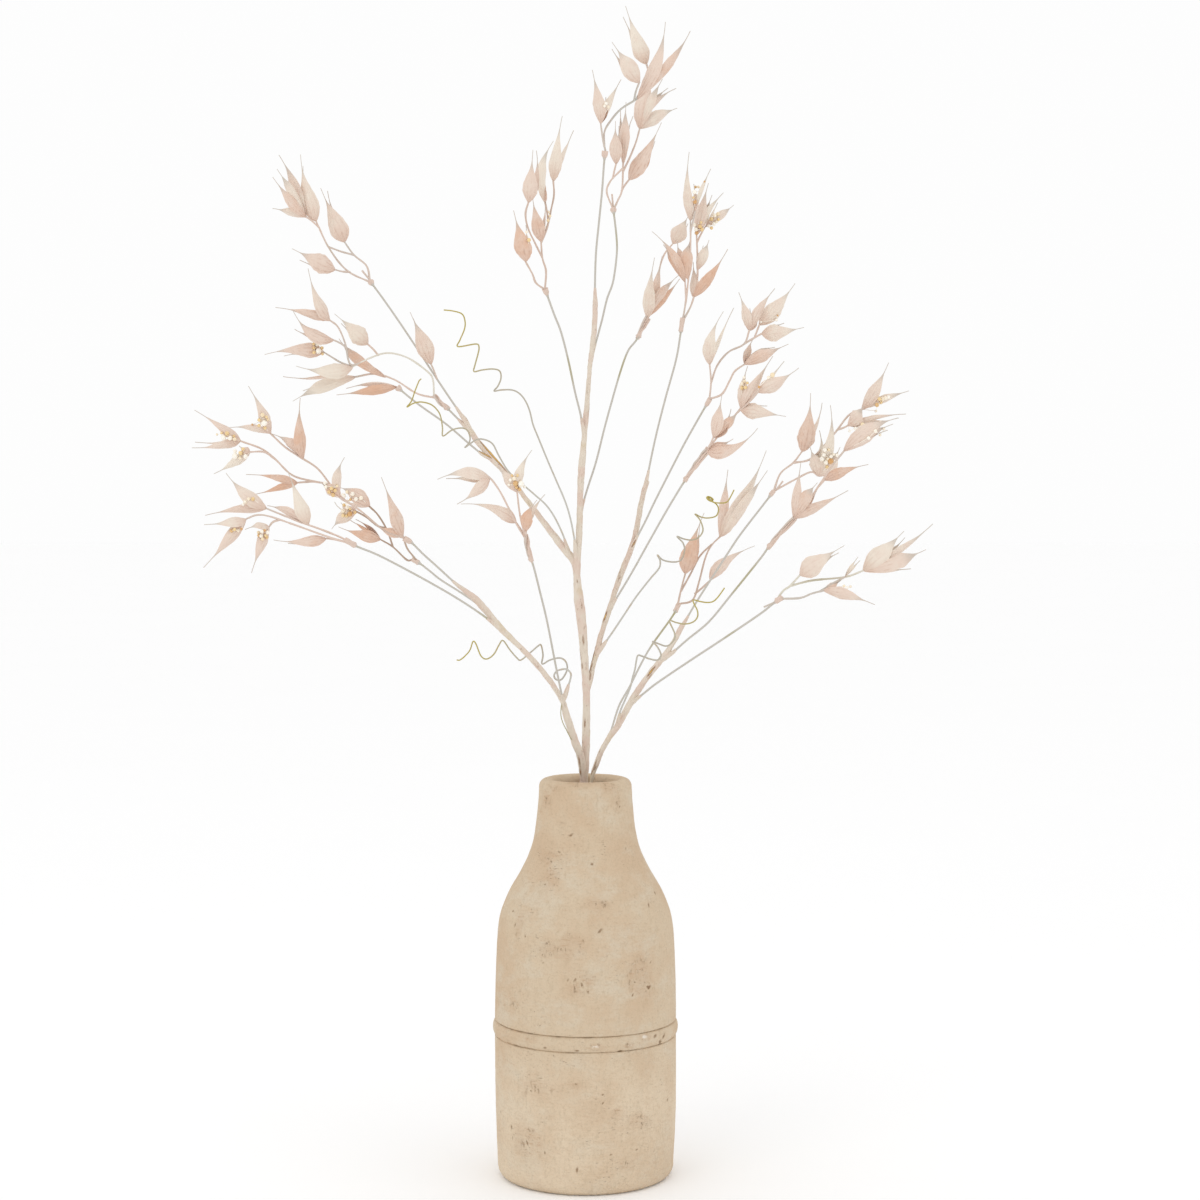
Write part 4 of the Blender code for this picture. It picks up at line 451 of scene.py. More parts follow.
TENDRILS = {
    "tendril_top_left": Tendril("trunk", 6, (14, 20, 25), [
        (576, 562), (575.5, 550), (574.5, 540), (570.5, 519), (565, 501), (556, 480), (547, 459),
        (538, 437), (533, 424.5), (530, 412), (526, 402), (520, 394), (512, 390), (501, 390),
        (494, 391), (498, 386), (501, 378), (499.6, 371), (492.6, 369), (482, 370), (474, 371.5),
        (475, 365), (478, 354), (479, 347), (475.8, 344), (458, 346.6), (460, 340), (464.5, 329),
        (465, 321), (462, 314), (453, 311), (444, 310)]),
    "tendril_mid_left": Tendril("upper_left_arm", 26, (13, 19, 26, 31), [
        (573, 560), (570, 554), (568, 550), (563, 535), (555, 518), (546, 505), (535, 495),
        (524.6, 486), (509, 472), (499, 456), (492.6, 444), (484, 439.5), (475.8, 440),
        (465, 447.5), (469, 443), (470, 437), (467, 430), (461, 428), (452, 430), (443, 436),
        (442.5, 428), (441, 418), (438, 411), (431, 404.5), (421, 402), (413, 403.5), (407, 407),
        (411.5, 401), (415, 391), (419, 381), (420, 380), (421, 379)]),
    "tendril_low_left": Tendril("left_arm", 26, (6, 13, 19, 28), [
        (562, 701), (564, 698), (567, 690), (571, 676), (569, 671), (565, 669), (557, 671),
        (554, 676), (557, 680), (562, 679), (567, 670), (566, 662), (560, 658), (550, 660),
        (542, 664), (543, 655), (541, 645), (538, 646), (531, 652), (521, 660), (517, 658),
        (510, 650), (503, 640.5), (499, 645), (494, 654), (487, 659), (481, 656), (476, 644),
        (473, 641.5), (470, 650), (465, 656), (460, 660), (457, 660)]),
    "tendril_upper_right": Tendril("upper_right_arm", 22, (9, 15, 20, 25), [
        (596, 655), (602, 647), (612, 633), (624, 615), (636, 597), (650, 579), (657, 571),
        (660, 566), (660, 560), (657.5, 555), (663, 560), (673, 562), (681, 560), (684.5, 551),
        (683, 543), (677, 536.5), (684, 539), (692, 540), (699, 537), (703, 530), (700, 520),
        (695, 514), (701, 517), (708, 518), (716, 516), (718.5, 510), (717, 505), (712, 501),
        (707, 497.5), (713, 502), (720, 503), (727, 502), (731, 496), (734, 490)]),
    "tendril_right": Tendril("right_arm", -36, (7, 12, 18, 24), [
        (617, 727), (620, 712), (625, 700), (630, 688), (632.5, 678), (635, 669), (636.3, 661),
        (638, 655.4), (643, 656.5), (650, 659), (657.6, 660), (661, 655), (657.5, 647),
        (652.6, 641.5), (658, 643.5), (667, 646), (674, 640), (674.5, 633), (669.5, 621),
        (676, 622.5), (684, 624), (692, 622.5), (697, 618), (697.5, 611), (693, 600.5),
        (700, 601.5), (707, 602.5), (713, 601.5), (718, 597), (724.5, 588)]),
}
# Tears in the branch's paper: column, row, half length in pixels, turn about the stem, and how
# strong, where 1 is brown and 2 a gash of bare gold
TEARS = [(581, 640, 6.0, 0.3125, 0.9), (584, 666, 4.0, 0.1875, 0.8), (584.5, 723, 3.5, 0.25, 0.8),
         (583.5, 760, 7.0, 0.22, 0.9), (594, 656, 5.0, 0.125, 0.9), (651, 671, 6.0, 0.25, 2.2),
         (649, 675, 4.0, 0.375, 0.9), (577, 607, 3.5, 0.375, 0.7), (606, 617, 4.0, 0.1875, 1.9),
         (588, 742, 3.0, 0.125, 0.8), (574, 582, 3.0, 0.3125, 0.7), (562, 704, 3.0, 0.375, 0.8),
         (602, 752, 3.0, 0.1875, 0.7), (635, 543, 4.0, 0.3125, 1.9), (587, 771, 3.5, 0.1875, 0.9),
         (596, 768, 3.0, 0.3125, 0.8), (493, 457, 15, 0.4167, 4.0)]
# Where a tendril is tied in a small loop: column, row, half width and half height in pixels
LOOPS = {"tendril_upper_right": (710, 499, 3.4, 1.5)}
# A fine wire that lies loose before the left arm
LOOSE_WIRE = [(562, 702), (561, 709), (561, 716), (563, 723), (566.5, 730), (570, 737), (572, 740)]
LOOSE_WIRE_GAP = 0.004
LOOSE_WIRE_RADIUS = 0.00035
# How much duller the paper of an arm is
DULL_ARMS = {"upper_right_arm": 0.28, "left_arm": 0.06}

# Small marks in the vase: column, row, half length and half width in mm, and slant
MARKS = np.array((
    (571, 835, 2.2, 0.8, 0.5), (592, 864, 1.8, 0.8, -0.7), (545, 884, 0.9, 0.7, 0.0),
    (600, 931, 2.6, 0.8, 0.8), (655, 893, 1.4, 0.8, 1.3), (649, 905, 1.7, 0.8, 1.3),
    (513, 911, 1.3, 0.7, 0.0), (525, 936, 1.6, 0.6, -1.1), (515, 925, 2.0, 0.6, 1.4),
    (543, 963, 1.2, 0.6, 0.3), (575, 980, 1.6, 0.8, 0.9), (582, 985, 2.4, 0.8, -1.2),
    (588, 992, 1.8, 0.7, -1.0), (635, 982, 1.5, 0.7, -0.8), (650, 987, 1.9, 0.8, 0.5),
    (633, 995, 1.5, 0.6, 1.0), (651, 962, 1.3, 0.6, 0.6), (516, 1008, 1.6, 0.5, -1.1),
    (668, 1100, 1.4, 0.9, 0.9), (511, 1127, 2.4, 0.7, -1.3), (527, 1143, 2.9, 0.8, -1.1),
    (545, 1153, 1.6, 0.6, -1.3), (577, 1170, 2.4, 0.9, 1.5), (637, 1150, 1.0, 0.7, 0.2),
    (603, 1095, 2.0, 0.5, -0.5), (560, 853, 2.2, 0.5, -0.4), (620, 807, 1.0, 0.7, 0.9),
    (545, 1048, 1.6, 0.8, 0.0), (577, 1051, 1.8, 0.7, 0.0), (620, 1051, 2.0, 0.7, 0.0),
    (655, 1036, 2.2, 1.0, 0.3), (660, 1042, 2.4, 1.1, -0.5), (664, 1036, 1.8, 1.0, 0.9),
    (568, 980, 1.2, 0.7, 1.2), (648, 987, 1.8, 0.7, -0.6), (626, 849, 1.2, 0.7, 0.2),
    (500, 1112, 1.4, 0.6, 1.4), (512, 1137, 2.4, 0.5, -1.4), (531, 1091, 1.4, 0.5, -0.6),
    (603, 1103, 1.4, 0.5, 0.9), (611, 1155, 0.9, 0.6, 0.0), (541, 1078, 2.6, 0.4, 0.1)))
# Rusty strokes and white chips on it: column, row, half length and half height in mm, and tone
WORN_PLACES = np.array((
    (560, 952, 11.0, 5.0, -1.0), (546, 855, 8.0, 4.0, -0.8), (583, 985, 7.5, 6.5, -0.9),
    (642, 980, 8.5, 11.0, -0.8), (519, 922, 4.0, 12.0, -0.7), (528, 1140, 12.0, 9.0, -0.7),
    (600, 905, 9.0, 3.5, -0.6), (552, 878, 6.0, 6.0, -0.8), (575, 1085, 9.0, 4.0, -0.6),
    (640, 1120, 9.0, 5.0, -0.7), (556, 788, 6.0, 3.0, -0.7), (607, 787, 6.0, 2.6, -0.7),
    (515, 1006, 4.0, 5.0, -0.7), (546, 798, 5.0, 6.0, -0.6), (618, 800, 3.0, 8.0, -0.7),
    (585, 783, 9.0, 2.2, -0.6), (572, 941, 9.0, 4.0, -0.8), (532, 1040, 5.0, 2.0, -0.8),
    (534, 1088, 14.0, 9.0, -0.45), (618, 1113, 7.0, 4.0, -0.55), (628, 1166, 9.0, 5.0, -0.45),
    (644, 1037, 5.0, 2.6, -1.5), (596, 1047, 5.5, 1.6, -1.5), (630, 1045, 3.0, 1.4, -1.4)))


# Shapes
def unit(vector: Array) -> Array:
    """The vectors at length 1, along the last axis."""
    return vector / np.linalg.norm(vector, axis=-1, keepdims=True)


def seen(pixels: Array, depth: Array) -> Array:
    """Points at given depths on the rays through picture points.

    A ray is the eye's line of sight plus its sideways and upward share, drawn out until its y
    is the depth.

    Args:
        pixels: column and row of each point.
        depth: y of each point in metres.

    Returns:
        A row of x, y, z for each point.
    """
    pixels = np.atleast_2d(np.asarray(pixels, float))
    rays = (LOOK * FOCAL_PIXELS + RIGHT * (pixels[:, :1] - PICTURE_MIDDLE)
            + UP * (PICTURE_MIDDLE - pixels[:, 1:2]))
    return EYE + rays * ((np.asarray(depth) - EYE[1]) / rays[:, 1])[:, None]


def shown(points: Array) -> Array:
    """The picture points where points in space appear, by their shares of the line from the eye."""
    away = points - EYE
    return PICTURE_MIDDLE + FOCAL_PIXELS / (away @ LOOK)[:, None] * np.stack((away @ RIGHT, -away @ UP), 1)


def pixel_size(depth: float) -> float:
    """The width of one pixel at a depth, in metres."""
    return (depth - EYE[1]) / FOCAL_PIXELS


def shares(points: Array) -> Array:
    """How far along a line each point lies: the steps' lengths added up over their sum."""
    steps = np.linalg.norm(np.diff(np.asarray(points, float), axis=0), axis=1)
    return np.concatenate(([0.0], np.cumsum(steps))) / np.cumsum(steps)[-1]


def flowing(values: Array, count: int) -> Array:
    """Rows drawn smoothly through the given rows.

    Between two rows runs the cubic whose slope at each row is half the step from the row
    before it to the row after it.

    Args:
        values: the rows to pass through.
        count: how many rows each stretch is cut into.

    Returns:
        The rows of the smooth line, first and last included.
    """
    rows = np.vstack((2 * values[0] - values[1], values, 2 * values[-1] - values[-2]))
    t = np.linspace(0, 1, count, endpoint=False)[None, :, None]
    a, b, c, d = (rows[i:len(rows) - 3 + i, None, :] for i in range(4))
    cubic = (b + t * (c - a) / 2 + t ** 2 * (a - 2.5 * b + 2 * c - d / 2)
             + t ** 3 * (1.5 * (b - c) + (d - a) / 2))
    return np.vstack((cubic.reshape(-1, values.shape[1]), values[-1:]))


def eased(value: Array, low: float, high: float) -> Array:
    """0 below low, 1 above high and the smooth step 3t^2 - 2t^3 between them."""
    t = np.clip((value - low) / (high - low), 0, 1)
    return t * t * (3 - 2 * t)


class Path:
    """A centre line in space with a radius at each point."""

    SHARES = np.linspace(0, 1, 400)
    CUTS = 12

    def __init__(self, points: Array, radii: Array | float) -> None:
        """Keep the points and how far along the line each lies.

        Args:
            points: rows of x, y, z.
            radii: the radius at each point, or one for all.
        """
        self.points = np.asarray(points, float)
        self.radii = np.broadcast_to(np.asarray(radii, float), len(self.points)).copy()
        self.along = shares(self.points)
        self.length = float(np.linalg.norm(np.diff(self.points, axis=0), axis=1).sum())

    def at(self, share: Array) -> Array:
        """Points at shares of the length, as a row for each."""
        return np.stack([np.interp(share, self.along, self.points[:, i]) for i in range(3)], -1)

    def radius_at(self, share: Array) -> Array:
        """The radius at shares of the length."""
        return np.interp(share, self.along, self.radii)

    def near(self, column: float, row: float) -> tuple[float, float]:
        """The share of the length that appears nearest to a picture point, and how near."""
        far = np.linalg.norm(shown(self.at(self.SHARES)) - (column, row), axis=1)
        return float(self.SHARES[far.argmin()]), float(far.min())

    def stretch(self, start: float, end: float) -> "Path":
        """A part of the line.

        Args:
            start: where it begins, in metres from the line's start.
            end: where it ends.

        Returns:
            The part, with all of the line's points in it.
        """
        first, last = start / self.length, end / self.length
        inner = self.along[(self.along > first) & (self.along < last)]
        share = np.concatenate(([first], inner, [last]))
        return Path(self.at(share), self.radius_at(share))

    def smooth(self, step: float) -> "Path":
        """The line drawn smoothly through its points and cut into steps of one length.

        Args:
            step: the length of a step in metres.

        Returns:
            The smooth line.
        """
        rows = flowing(np.column_stack((self.points, self.radii)), self.CUTS)
        line = Path(rows[:, :3], rows[:, 3])
        share = np.linspace(0, 1, max(3, math.ceil(line.length / step) + 1))
        return Path(line.at(share), line.radius_at(share))


def meet(paths: list[Path], column: float, row: float) -> Array:
    """The point, on the path that appears nearest to a picture point, where another grows."""
    nearest = min(paths, key=lambda path: path.near(column, row)[1])
    return nearest.at(nearest.near(column, row)[0])


def picture_path(points: list, depths: list[float], radii: Array | float) -> Path:
    """A path through picture points, its depth passing evenly through the given depths.

    Args:
        points: column and row of each point first, and whatever else belongs to it.
        depths: y at equal shares of the length, from the first point to the last.
        radii: the radius at each point, or one for all.

    Returns:
        The path in space.
    """
    pixels = np.asarray(points, float)[:, :2]
    depth = np.interp(shares(pixels), np.linspace(0, 1, len(depths)), depths)
    return Path(seen(pixels, depth), radii)


def grown(lines: list[Path], points: list, depth: float, radius: float) -> Path:
    """A path from the middle of the line that appears nearest, through picture points to a depth.

    Args:
        lines: what it may grow from.
        points: column and row of each point.
        depth: y of the last one.
        radius: the path's radius.

    Returns:
        The path in space.
    """
    root = meet(lines, *points[0])
    line = picture_path(points, [float(root[1]), depth], radius)
    line.points[0] = root
    return Path(line.points, line.radii)


class Grain:
    """Smooth noise from a seeded lattice of numbers between -1 and 1."""

    SIDE = 32
    APART = 7.3

    def __init__(self, seed: int) -> None:
        """Fill the lattice."""
        self.lattice = np.random.default_rng(seed).uniform(-1, 1, (self.SIDE,) * 3)

    def at(self, points: Array, size: float) -> Array:
        """The noise at points.

        A point's place in its lattice cell is eased by 3t^2 - 2t^3 along each axis, and the
        numbers at the cell's eight corners are mixed by those shares.

        Args:
            points: rows of x, y, z.
            size: the width of a lattice cell.

        Returns:
            One number for each point.
        """
        place = points / size
        cell = np.floor(place).astype(int)
        t = place - cell
        t = t * t * (3 - 2 * t)
        total = np.zeros(len(points))
        for corner in np.ndindex(2, 2, 2):
            weight = np.prod(np.where(corner, t, 1 - t), axis=1)
            total += weight * self.lattice[tuple((cell + corner).T % self.SIDE)]
        return total

    def layered(self, points: Array, size: float, layers: int) -> Array:
        """Noise summed over layers, each half as wide and half as strong as the last."""
        return sum(self.at(points + self.APART * i, size / 2 ** i) / 2 ** i for i in range(layers))


class Finish(IntEnum):
    """The finishes of a sprig, in the order of its material slots."""

    WIRE = 0
    HUSK = 1
    PEARL = 2


class Cover(IntEnum):
    """The finishes of the branch, in the order of its material slots."""

    PAPER = 0
    METAL = 1


@dataclass
class Patch:
    """Points with their faces, and what the finishes read at each point."""

    points: Array
    faces: Array
    caps: Array
    uv: Array
    tone: Array
    finish: int = 0


def closed_rings(rings: Array) -> tuple[Array, Array, Array]:
    """The faces of a row of rings, and fans that close its two ends.

    Args:
        rings: points by ring, place in the ring and axis.

    Returns:
        All points with the two end points last, the four-sided faces and the fans.
    """
    count, sides = rings.shape[:2]
    index = np.arange(count * sides).reshape(count, sides)
    ahead = np.roll(index, -1, axis=1)
    faces = np.stack((index[:-1], ahead[:-1], ahead[1:], index[1:]), -1).reshape(-1, 4)
    first, last = count * sides, count * sides + 1
    start = np.stack((np.full(sides, first), ahead[0], index[0]), -1)
    end = np.stack((np.full(sides, last), index[-1], ahead[-1]), -1)
    points = np.vstack((rings.reshape(-1, 3), rings[0].mean(0), rings[-1].mean(0)))
    return points, faces, np.vstack((start, end))


def tube(path: Path, sides: int, relief: Optional[Array] = None, tone: Array | float = 0.0,
         finish: int = Finish.WIRE) -> Patch:
    """A closed tube: circles carried along a path without twisting about it.

    A circle's point is the path's point plus the radius times cosine of its turn along one
    side and sine along the other.

    Args:
        path: the centre line with its radii.
        sides: points in each circle.
        relief: what the radius gains at each ring and place in it.
        tone: what the finish reads, for each ring and place in it.
        finish: the finish it wears.

    Returns:
        The tube's patch, with the turn and the length in metres as its UV.
    """
    tangents = unit(np.gradient(path.points, axis=0))
    side = np.cross(tangents[0], (0.31, 0.87, 0.12))
    firsts = np.empty_like(tangents)
    for i, tangent in enumerate(tangents):
        side = unit(side - tangent * (side @ tangent))
        firsts[i] = side
    seconds = np.cross(tangents, firsts)
    turns = np.arange(sides) * 2 * math.pi / sides
    reach = path.radii[:, None] + (0 if relief is None else relief)
    rings = (path.points[:, None] + (reach * np.cos(turns))[..., None] * firsts[:, None]
             + (reach * np.sin(turns))[..., None] * seconds[:, None])
    points, faces, caps = closed_rings(rings)
    uv = np.stack(np.broadcast_arrays(turns / (2 * math.pi), (path.along * path.length)[:, None]), -1)
    tones = np.broadcast_to(tone, uv.shape[:2]).reshape(-1)
    return Patch(points, faces, caps, np.vstack((uv.reshape(-1, 2), (0, 0), (0, path.length))),
                 np.concatenate((tones, tones[[0, -1]])), finish)


def ball(centre: Array, radius: float, tone: float) -> Patch:
    """A small pearl: circles of radius r sin(a) at height r cos(a), closed at both poles.

    Args:
        centre: the pearl's middle.
        radius: its radius r.
        tone: what the finish reads.

    Returns:
        The pearl's patch.
    """
    rings, sides, first = 6, 8, 0.35
    angles = np.linspace(first, math.pi - first, rings)[:, None]
    turns = np.arange(sides) * 2 * math.pi / sides
    circles = np.stack(np.broadcast_arrays(
        np.sin(angles) * np.cos(turns), np.sin(angles) * np.sin(turns), np.cos(angles)), -1)[:, ::-1]
    points, faces, caps = closed_rings(circles * radius)
    points[-2:] = ((0, 0, radius), (0, 0, -radius))
    return Patch(points + centre, faces, caps, np.zeros((len(points), 2)),
                 np.full(len(points), tone), Finish.PEARL)


def placed(name: str, data: bpy.types.ID) -> Piece:
    """A new object with its data, linked into the scene.

    Args:
        name: the object's name.
        data: its mesh, light or camera.

    Returns:
        The object, at the origin.
    """
    made = bpy.data.objects.new(name, data)
    bpy.context.scene.collection.objects.link(made)
    return made


def skin(name: str, patches: list[Patch], finishes: list[Material],
         sharp: float = 60.0) -> Piece:
    """One mesh object out of patches, with its UV map and its tone at each point.

    Args:
        name: the object's name.
        patches: what it is made of.
        finishes: its materials, by the patches' finish.
        sharp: the angle in degrees past which an edge is shaded sharp.

    Returns:
        The object, at the origin.
    """
    starts = np.cumsum([0] + [len(p.points) for p in patches])
    points = np.vstack([p.points for p in patches])
    parts = [(p.faces + start, p.finish) for p, start in zip(patches, starts)]
    parts += [(p.caps + start, p.finish) for p, start in zip(patches, starts)]
    loops = np.concatenate([corners.ravel() for corners, _ in parts])
    totals = np.concatenate([np.full(len(corners), corners.shape[1]) for corners, _ in parts])
    slots = np.concatenate([np.full(len(corners), slot) for corners, slot in parts])
    mesh = bpy.data.meshes.new(name)
    mesh.vertices.add(len(points))
    mesh.vertices.foreach_set("co", points.ravel().astype(np.float32))
    mesh.loops.add(len(loops))
    mesh.loops.foreach_set("vertex_index", loops.astype(np.int32))
    mesh.polygons.add(len(totals))
    mesh.polygons.foreach_set("loop_start", (np.cumsum(totals) - totals).astype(np.int32))
    mesh.polygons.foreach_set("material_index", slots.astype(np.int32))
    mesh.update(calc_edges=True)
    mesh.validate()
    uv = np.vstack([p.uv for p in patches])
    mesh.uv_layers.new(name="UVMap").data.foreach_set("uv", uv[loops].ravel().astype(np.float32))
    tone = mesh.attributes.new("tone", "FLOAT", "POINT")
    tone.data.foreach_set("value", np.concatenate([p.tone for p in patches]).astype(np.float32))
    for finish in finishes:
        mesh.materials.append(finish)
    mesh.shade_smooth()
    mesh.set_sharp_from_angle(angle=math.radians(sharp))
    return placed(name, mesh)


# Finishes
def colour(*eights: int) -> Colour:
    """A scene-linear colour from the 8-bit red, green and blue, by the sRGB curve."""
    share = np.array(eights) / 255
    return (*np.where(share <= 0.04045, share / 12.92, ((share + 0.055) / 1.055) ** 2.4).tolist(), 1.0)


class Spots(NamedTuple):
    """A noise pattern: its size in metres, the noise where it starts and where it is full.

    Detail and roughness say how fine its finest grain is.  The squeeze multiplies the height:
    under 1 it draws the pattern upright, and over 1 level.
    """

    size: float
    low: float
    high: float
    detail: float = 3.0
    roughness: float = 0.55
    squeeze: float = 1.0


class Recipe:
    """The node tree of one finish, mixed step by step."""

    def __init__(self, name: str, gloss: dict[str, float]) -> None:
        """A new material with its Principled shader.

        Args:
            name: the material's name.
            gloss: the shader's own values, by the names of its sockets.
        """
        self.material = bpy.data.materials.new(name)
        self.material.use_nodes = True
        self.tree = self.material.node_tree
        self.shader = self.tree.nodes["Principled BSDF"]
        for key, value in gloss.items():
            self.shader.inputs[key].default_value = value

    def add(self, kind: str, inputs: dict, **settings) -> bpy.types.Node:
        """A node with its settings, and its inputs linked or set.

        Args:
            kind: the node's type.
            inputs: a socket to link or a value to set, by the input's name or number.
            settings: the node's own settings.

        Returns:
            The node.
        """
        node = self.tree.nodes.new(kind)
        for key, value in settings.items():
            setattr(node, key, value)
        for key, value in inputs.items():
            if isinstance(value, Socket):
                self.tree.links.new(value, node.inputs[key])
            else:
                node.inputs[key].default_value = value
        return node

    @cache
    def place(self, squeeze: float = 1.0) -> Socket:
        """Object coordinates with their height multiplied by the squeeze."""
        base = self.add("ShaderNodeTexCoord", {}).outputs["Object"]
        return self.add("ShaderNodeMapping", {"Vector": base, "Scale": (1.0, 1.0, squeeze)}).outputs[0]

    def height(self) -> Socket:
        """The height above the floor, in metres."""
        return self.add("ShaderNodeSeparateXYZ", {"Vector": self.place()}).outputs["Z"]

    def across_and_along(self) -> tuple[Socket, Socket]:
        """The two numbers of the piece's own UV map."""
        uv = self.add("ShaderNodeUVMap", {}, uv_map="UVMap").outputs["UV"]
        return tuple(self.add("ShaderNodeSeparateXYZ", {"Vector": uv}).outputs[:2])

    def tone(self) -> Socket:
        """The tone at each point."""
        return self.add("ShaderNodeAttribute", {}, attribute_name="tone").outputs["Fac"]

    def noise(self, size: float, detail: float = 3.0, roughness: float = 0.55,
              squeeze: float = 1.0) -> Socket:
        """Noise with features of one size in metres."""
        return self.add("ShaderNodeTexNoise", {
            "Vector": self.place(squeeze), "Scale": 1 / size, "Detail": detail,
            "Roughness": roughness}).outputs["Fac"]

    def step(self, value: Socket, low: float, high: float) -> Socket:
        """0 below low, 1 above high and smooth between; falls where low is above high."""
        return self.add("ShaderNodeMapRange", {"Value": value, "From Min": low, "From Max": high},
                        interpolation_type="SMOOTHSTEP").outputs["Result"]

    def spots(self, pattern: Spots) -> Socket:
        """A noise pattern, from 0 where it isn't to 1 where it is full."""
        noise = self.noise(pattern.size, pattern.detail, pattern.roughness, pattern.squeeze)
        return self.step(noise, pattern.low, pattern.high)

    def times(self, value: Socket, other: "Socket | float") -> Socket:
        """The product with a number or another value."""
        return self.add("ShaderNodeMath", {0: value, 1: other}, operation="MULTIPLY").outputs[0]

    def plus(self, value: Socket, other: "Socket | float") -> Socket:
        """The sum with a number or another value."""
        return self.add("ShaderNodeMath", {0: value, 1: other}, operation="ADD").outputs[0]

    def swayed(self, noise: Socket, reach: float, value: "Socket | float") -> Socket:
        """A number or another value plus the noise's distance from a half, times a reach."""
        return self.plus(self.times(self.plus(noise, -0.5), reach), value)

    def ridges(self, value: Socket, count: float) -> Socket:
        """Half of one plus the sine, which rises count times while the value goes from 0 to 1."""
        wave = self.add("ShaderNodeMath", {0: self.times(value, 2 * math.pi * count)}, operation="SINE")
        return self.plus(self.times(wave.outputs[0], 0.5), 0.5)

    def blend(self, share: Socket, first: "Socket | Colour", second: Colour) -> Socket:
        """The first colour where the share is 0, the second where it is 1."""
        return self.add("ShaderNodeMix", {0: share, 6: first, 7: second}, data_type="RGBA").outputs[2]

    def coat(self, base: Socket, over: Colour, share: Socket,
             strength: float) -> Socket:
        """The base under another colour, as thick as the share times its strength."""
        return self.blend(self.times(share, strength), base, over)

    def finish(self, base: Socket, height: Optional[Socket] = None,
               depth: float = 0.0) -> Material:
        """The material with its base colour and its bump.

        Args:
            base: the colour.
            height: the bump's height between 0 and 1, if it has one.
            depth: what that height stands for, in metres.

        Returns:
            The material.
        """
        self.tree.links.new(base, self.shader.inputs["Base Color"])
        if height is not None:
            bump = self.add("ShaderNodeBump", {"Height": height, "Distance": depth, "Strength": 1.0})
            self.tree.links.new(bump.outputs["Normal"], self.shader.inputs["Normal"])
        return self.material


@dataclass(frozen=True)
class PlasterFinish:
    """Worn sand-coloured plaster: brushed mottling, chalky and rusty strokes, specks, painted shade in its
    hollows and painted light towards its foot.
    """

    body: Colour = colour(209, 190, 164)
    warm: Colour = colour(204, 180, 152)
    chalk: Colour = colour(211, 198, 177)
    foot_light: Colour = colour(220, 202, 177)
    # Painted light: the paler colour towards the foot, between the two heights below, stands in for light
    # that falls off there
    dull: Colour = colour(178, 158, 130)
    rust: Colour = colour(180, 146, 116)
    speck: Colour = colour(148, 122, 94)
    # Painted shade: the dark colour in the creases, ring chips and marks
    hollow_shade: Colour = colour(140, 114, 88)
    white: Colour = colour(232, 224, 212)
    foot_light_starts: float = 0.115
    foot_light_full: float = 0.045
    warm_clouds: Spots = Spots(0.040, 0.36, 0.66, 4, 0.6)
    chalky_clouds: Spots = Spots(0.032, 0.46, 0.68, 6, 0.68, 1.5)
    strokes: Spots = Spots(0.005, 0.46, 0.68, 6, 0.78, 3.2)
    upright: Spots = Spots(0.0024, 0.50, 0.72, 5, 0.75, 0.3)
    grains: Spots = Spots(0.0016, 0.48, 0.72, 4, 0.8)
    rubbed: Spots = Spots(0.007, 0.52, 0.68, 4, 0.78, 4.5)
    rubbed_parts: Spots = Spots(0.034, 0.54, 0.66, 2)
    ticks: Spots = Spots(0.0021, 0.54, 0.68, 3, 0.6, 0.45)
    ticked_parts: Spots = Spots(0.006, 0.44, 0.60, 4, 0.6)
    specks: Spots = Spots(0.0022, 0.66, 0.73, 2, 0.55, 3.2)
    specked_parts: Spots = Spots(0.024, 0.50, 0.66)
    chipped: Spots = Spots(0.0014, 0.40, 0.54)
    pitted: float = -0.8
    relief: float = 0.0005

    def material(self) -> Material:
        """The plaster's material: clouds, strokes and grains over its body, then what the tone asks.

        Returns:
            The material, rusty where the tone is under 0, with painted shade in its creases, chips and
            marks where it is near 1, and white chips where it is under -1.
        """
        mix = Recipe("worn plaster", {"Roughness": 0.92, "Specular IOR Level": 0.2})
        tone = mix.tone()
        # Painted light: the body turns paler towards the foot, for the light that falls off there
        low = mix.step(mix.height(), self.foot_light_starts, self.foot_light_full)
        base = mix.blend(low, self.body, self.foot_light)
        base = mix.blend(mix.spots(self.warm_clouds), base, self.warm)
        base = mix.coat(base, self.chalk, mix.spots(self.chalky_clouds), 0.75)
        # Painted light towards the foot, laid on a second time
        base = mix.coat(base, self.foot_light, low, 0.35)
        base = mix.coat(base, self.warm, mix.spots(self.strokes), 0.50)
        base = mix.coat(base, self.dull, mix.spots(self.upright), 0.34)
        base = mix.coat(base, self.dull, mix.spots(self.grains), 0.50)
        rubbed = mix.spots(self.rubbed)
        base = mix.coat(base, self.rust, mix.times(rubbed, mix.spots(self.rubbed_parts)), 0.35)
        rusty = mix.step(tone, 0.0, -0.6)
        base = mix.blend(mix.times(mix.plus(mix.times(rubbed, 0.5), 0.16), rusty), base, self.rust)
        ticks = mix.times(mix.spots(self.ticks), mix.times(rusty, mix.spots(self.ticked_parts)))
        base = mix.coat(base, self.speck, ticks, 0.7)
        specks = mix.times(mix.spots(self.specks), mix.spots(self.specked_parts))
        base = mix.coat(base, self.speck, specks, 0.6)
        # Painted shade in the creases, ring chips and marks, where the tone nears 1
        base = mix.blend(mix.step(tone, 0.25, 1.0), base, self.hollow_shade)
        chips = mix.times(mix.step(tone, -1.0, -1.8), mix.spots(self.chipped))
        base = mix.blend(chips, base, self.white)
        height = mix.plus(mix.times(mix.noise(0.0012, 3, 0.7), 0.7), mix.noise(0.006, 4, squeeze=3.2))
        height = mix.plus(height, mix.times(specks, self.pitted))
        height = mix.plus(height, mix.times(ticks, self.pitted))
        return mix.finish(base, height, self.relief)


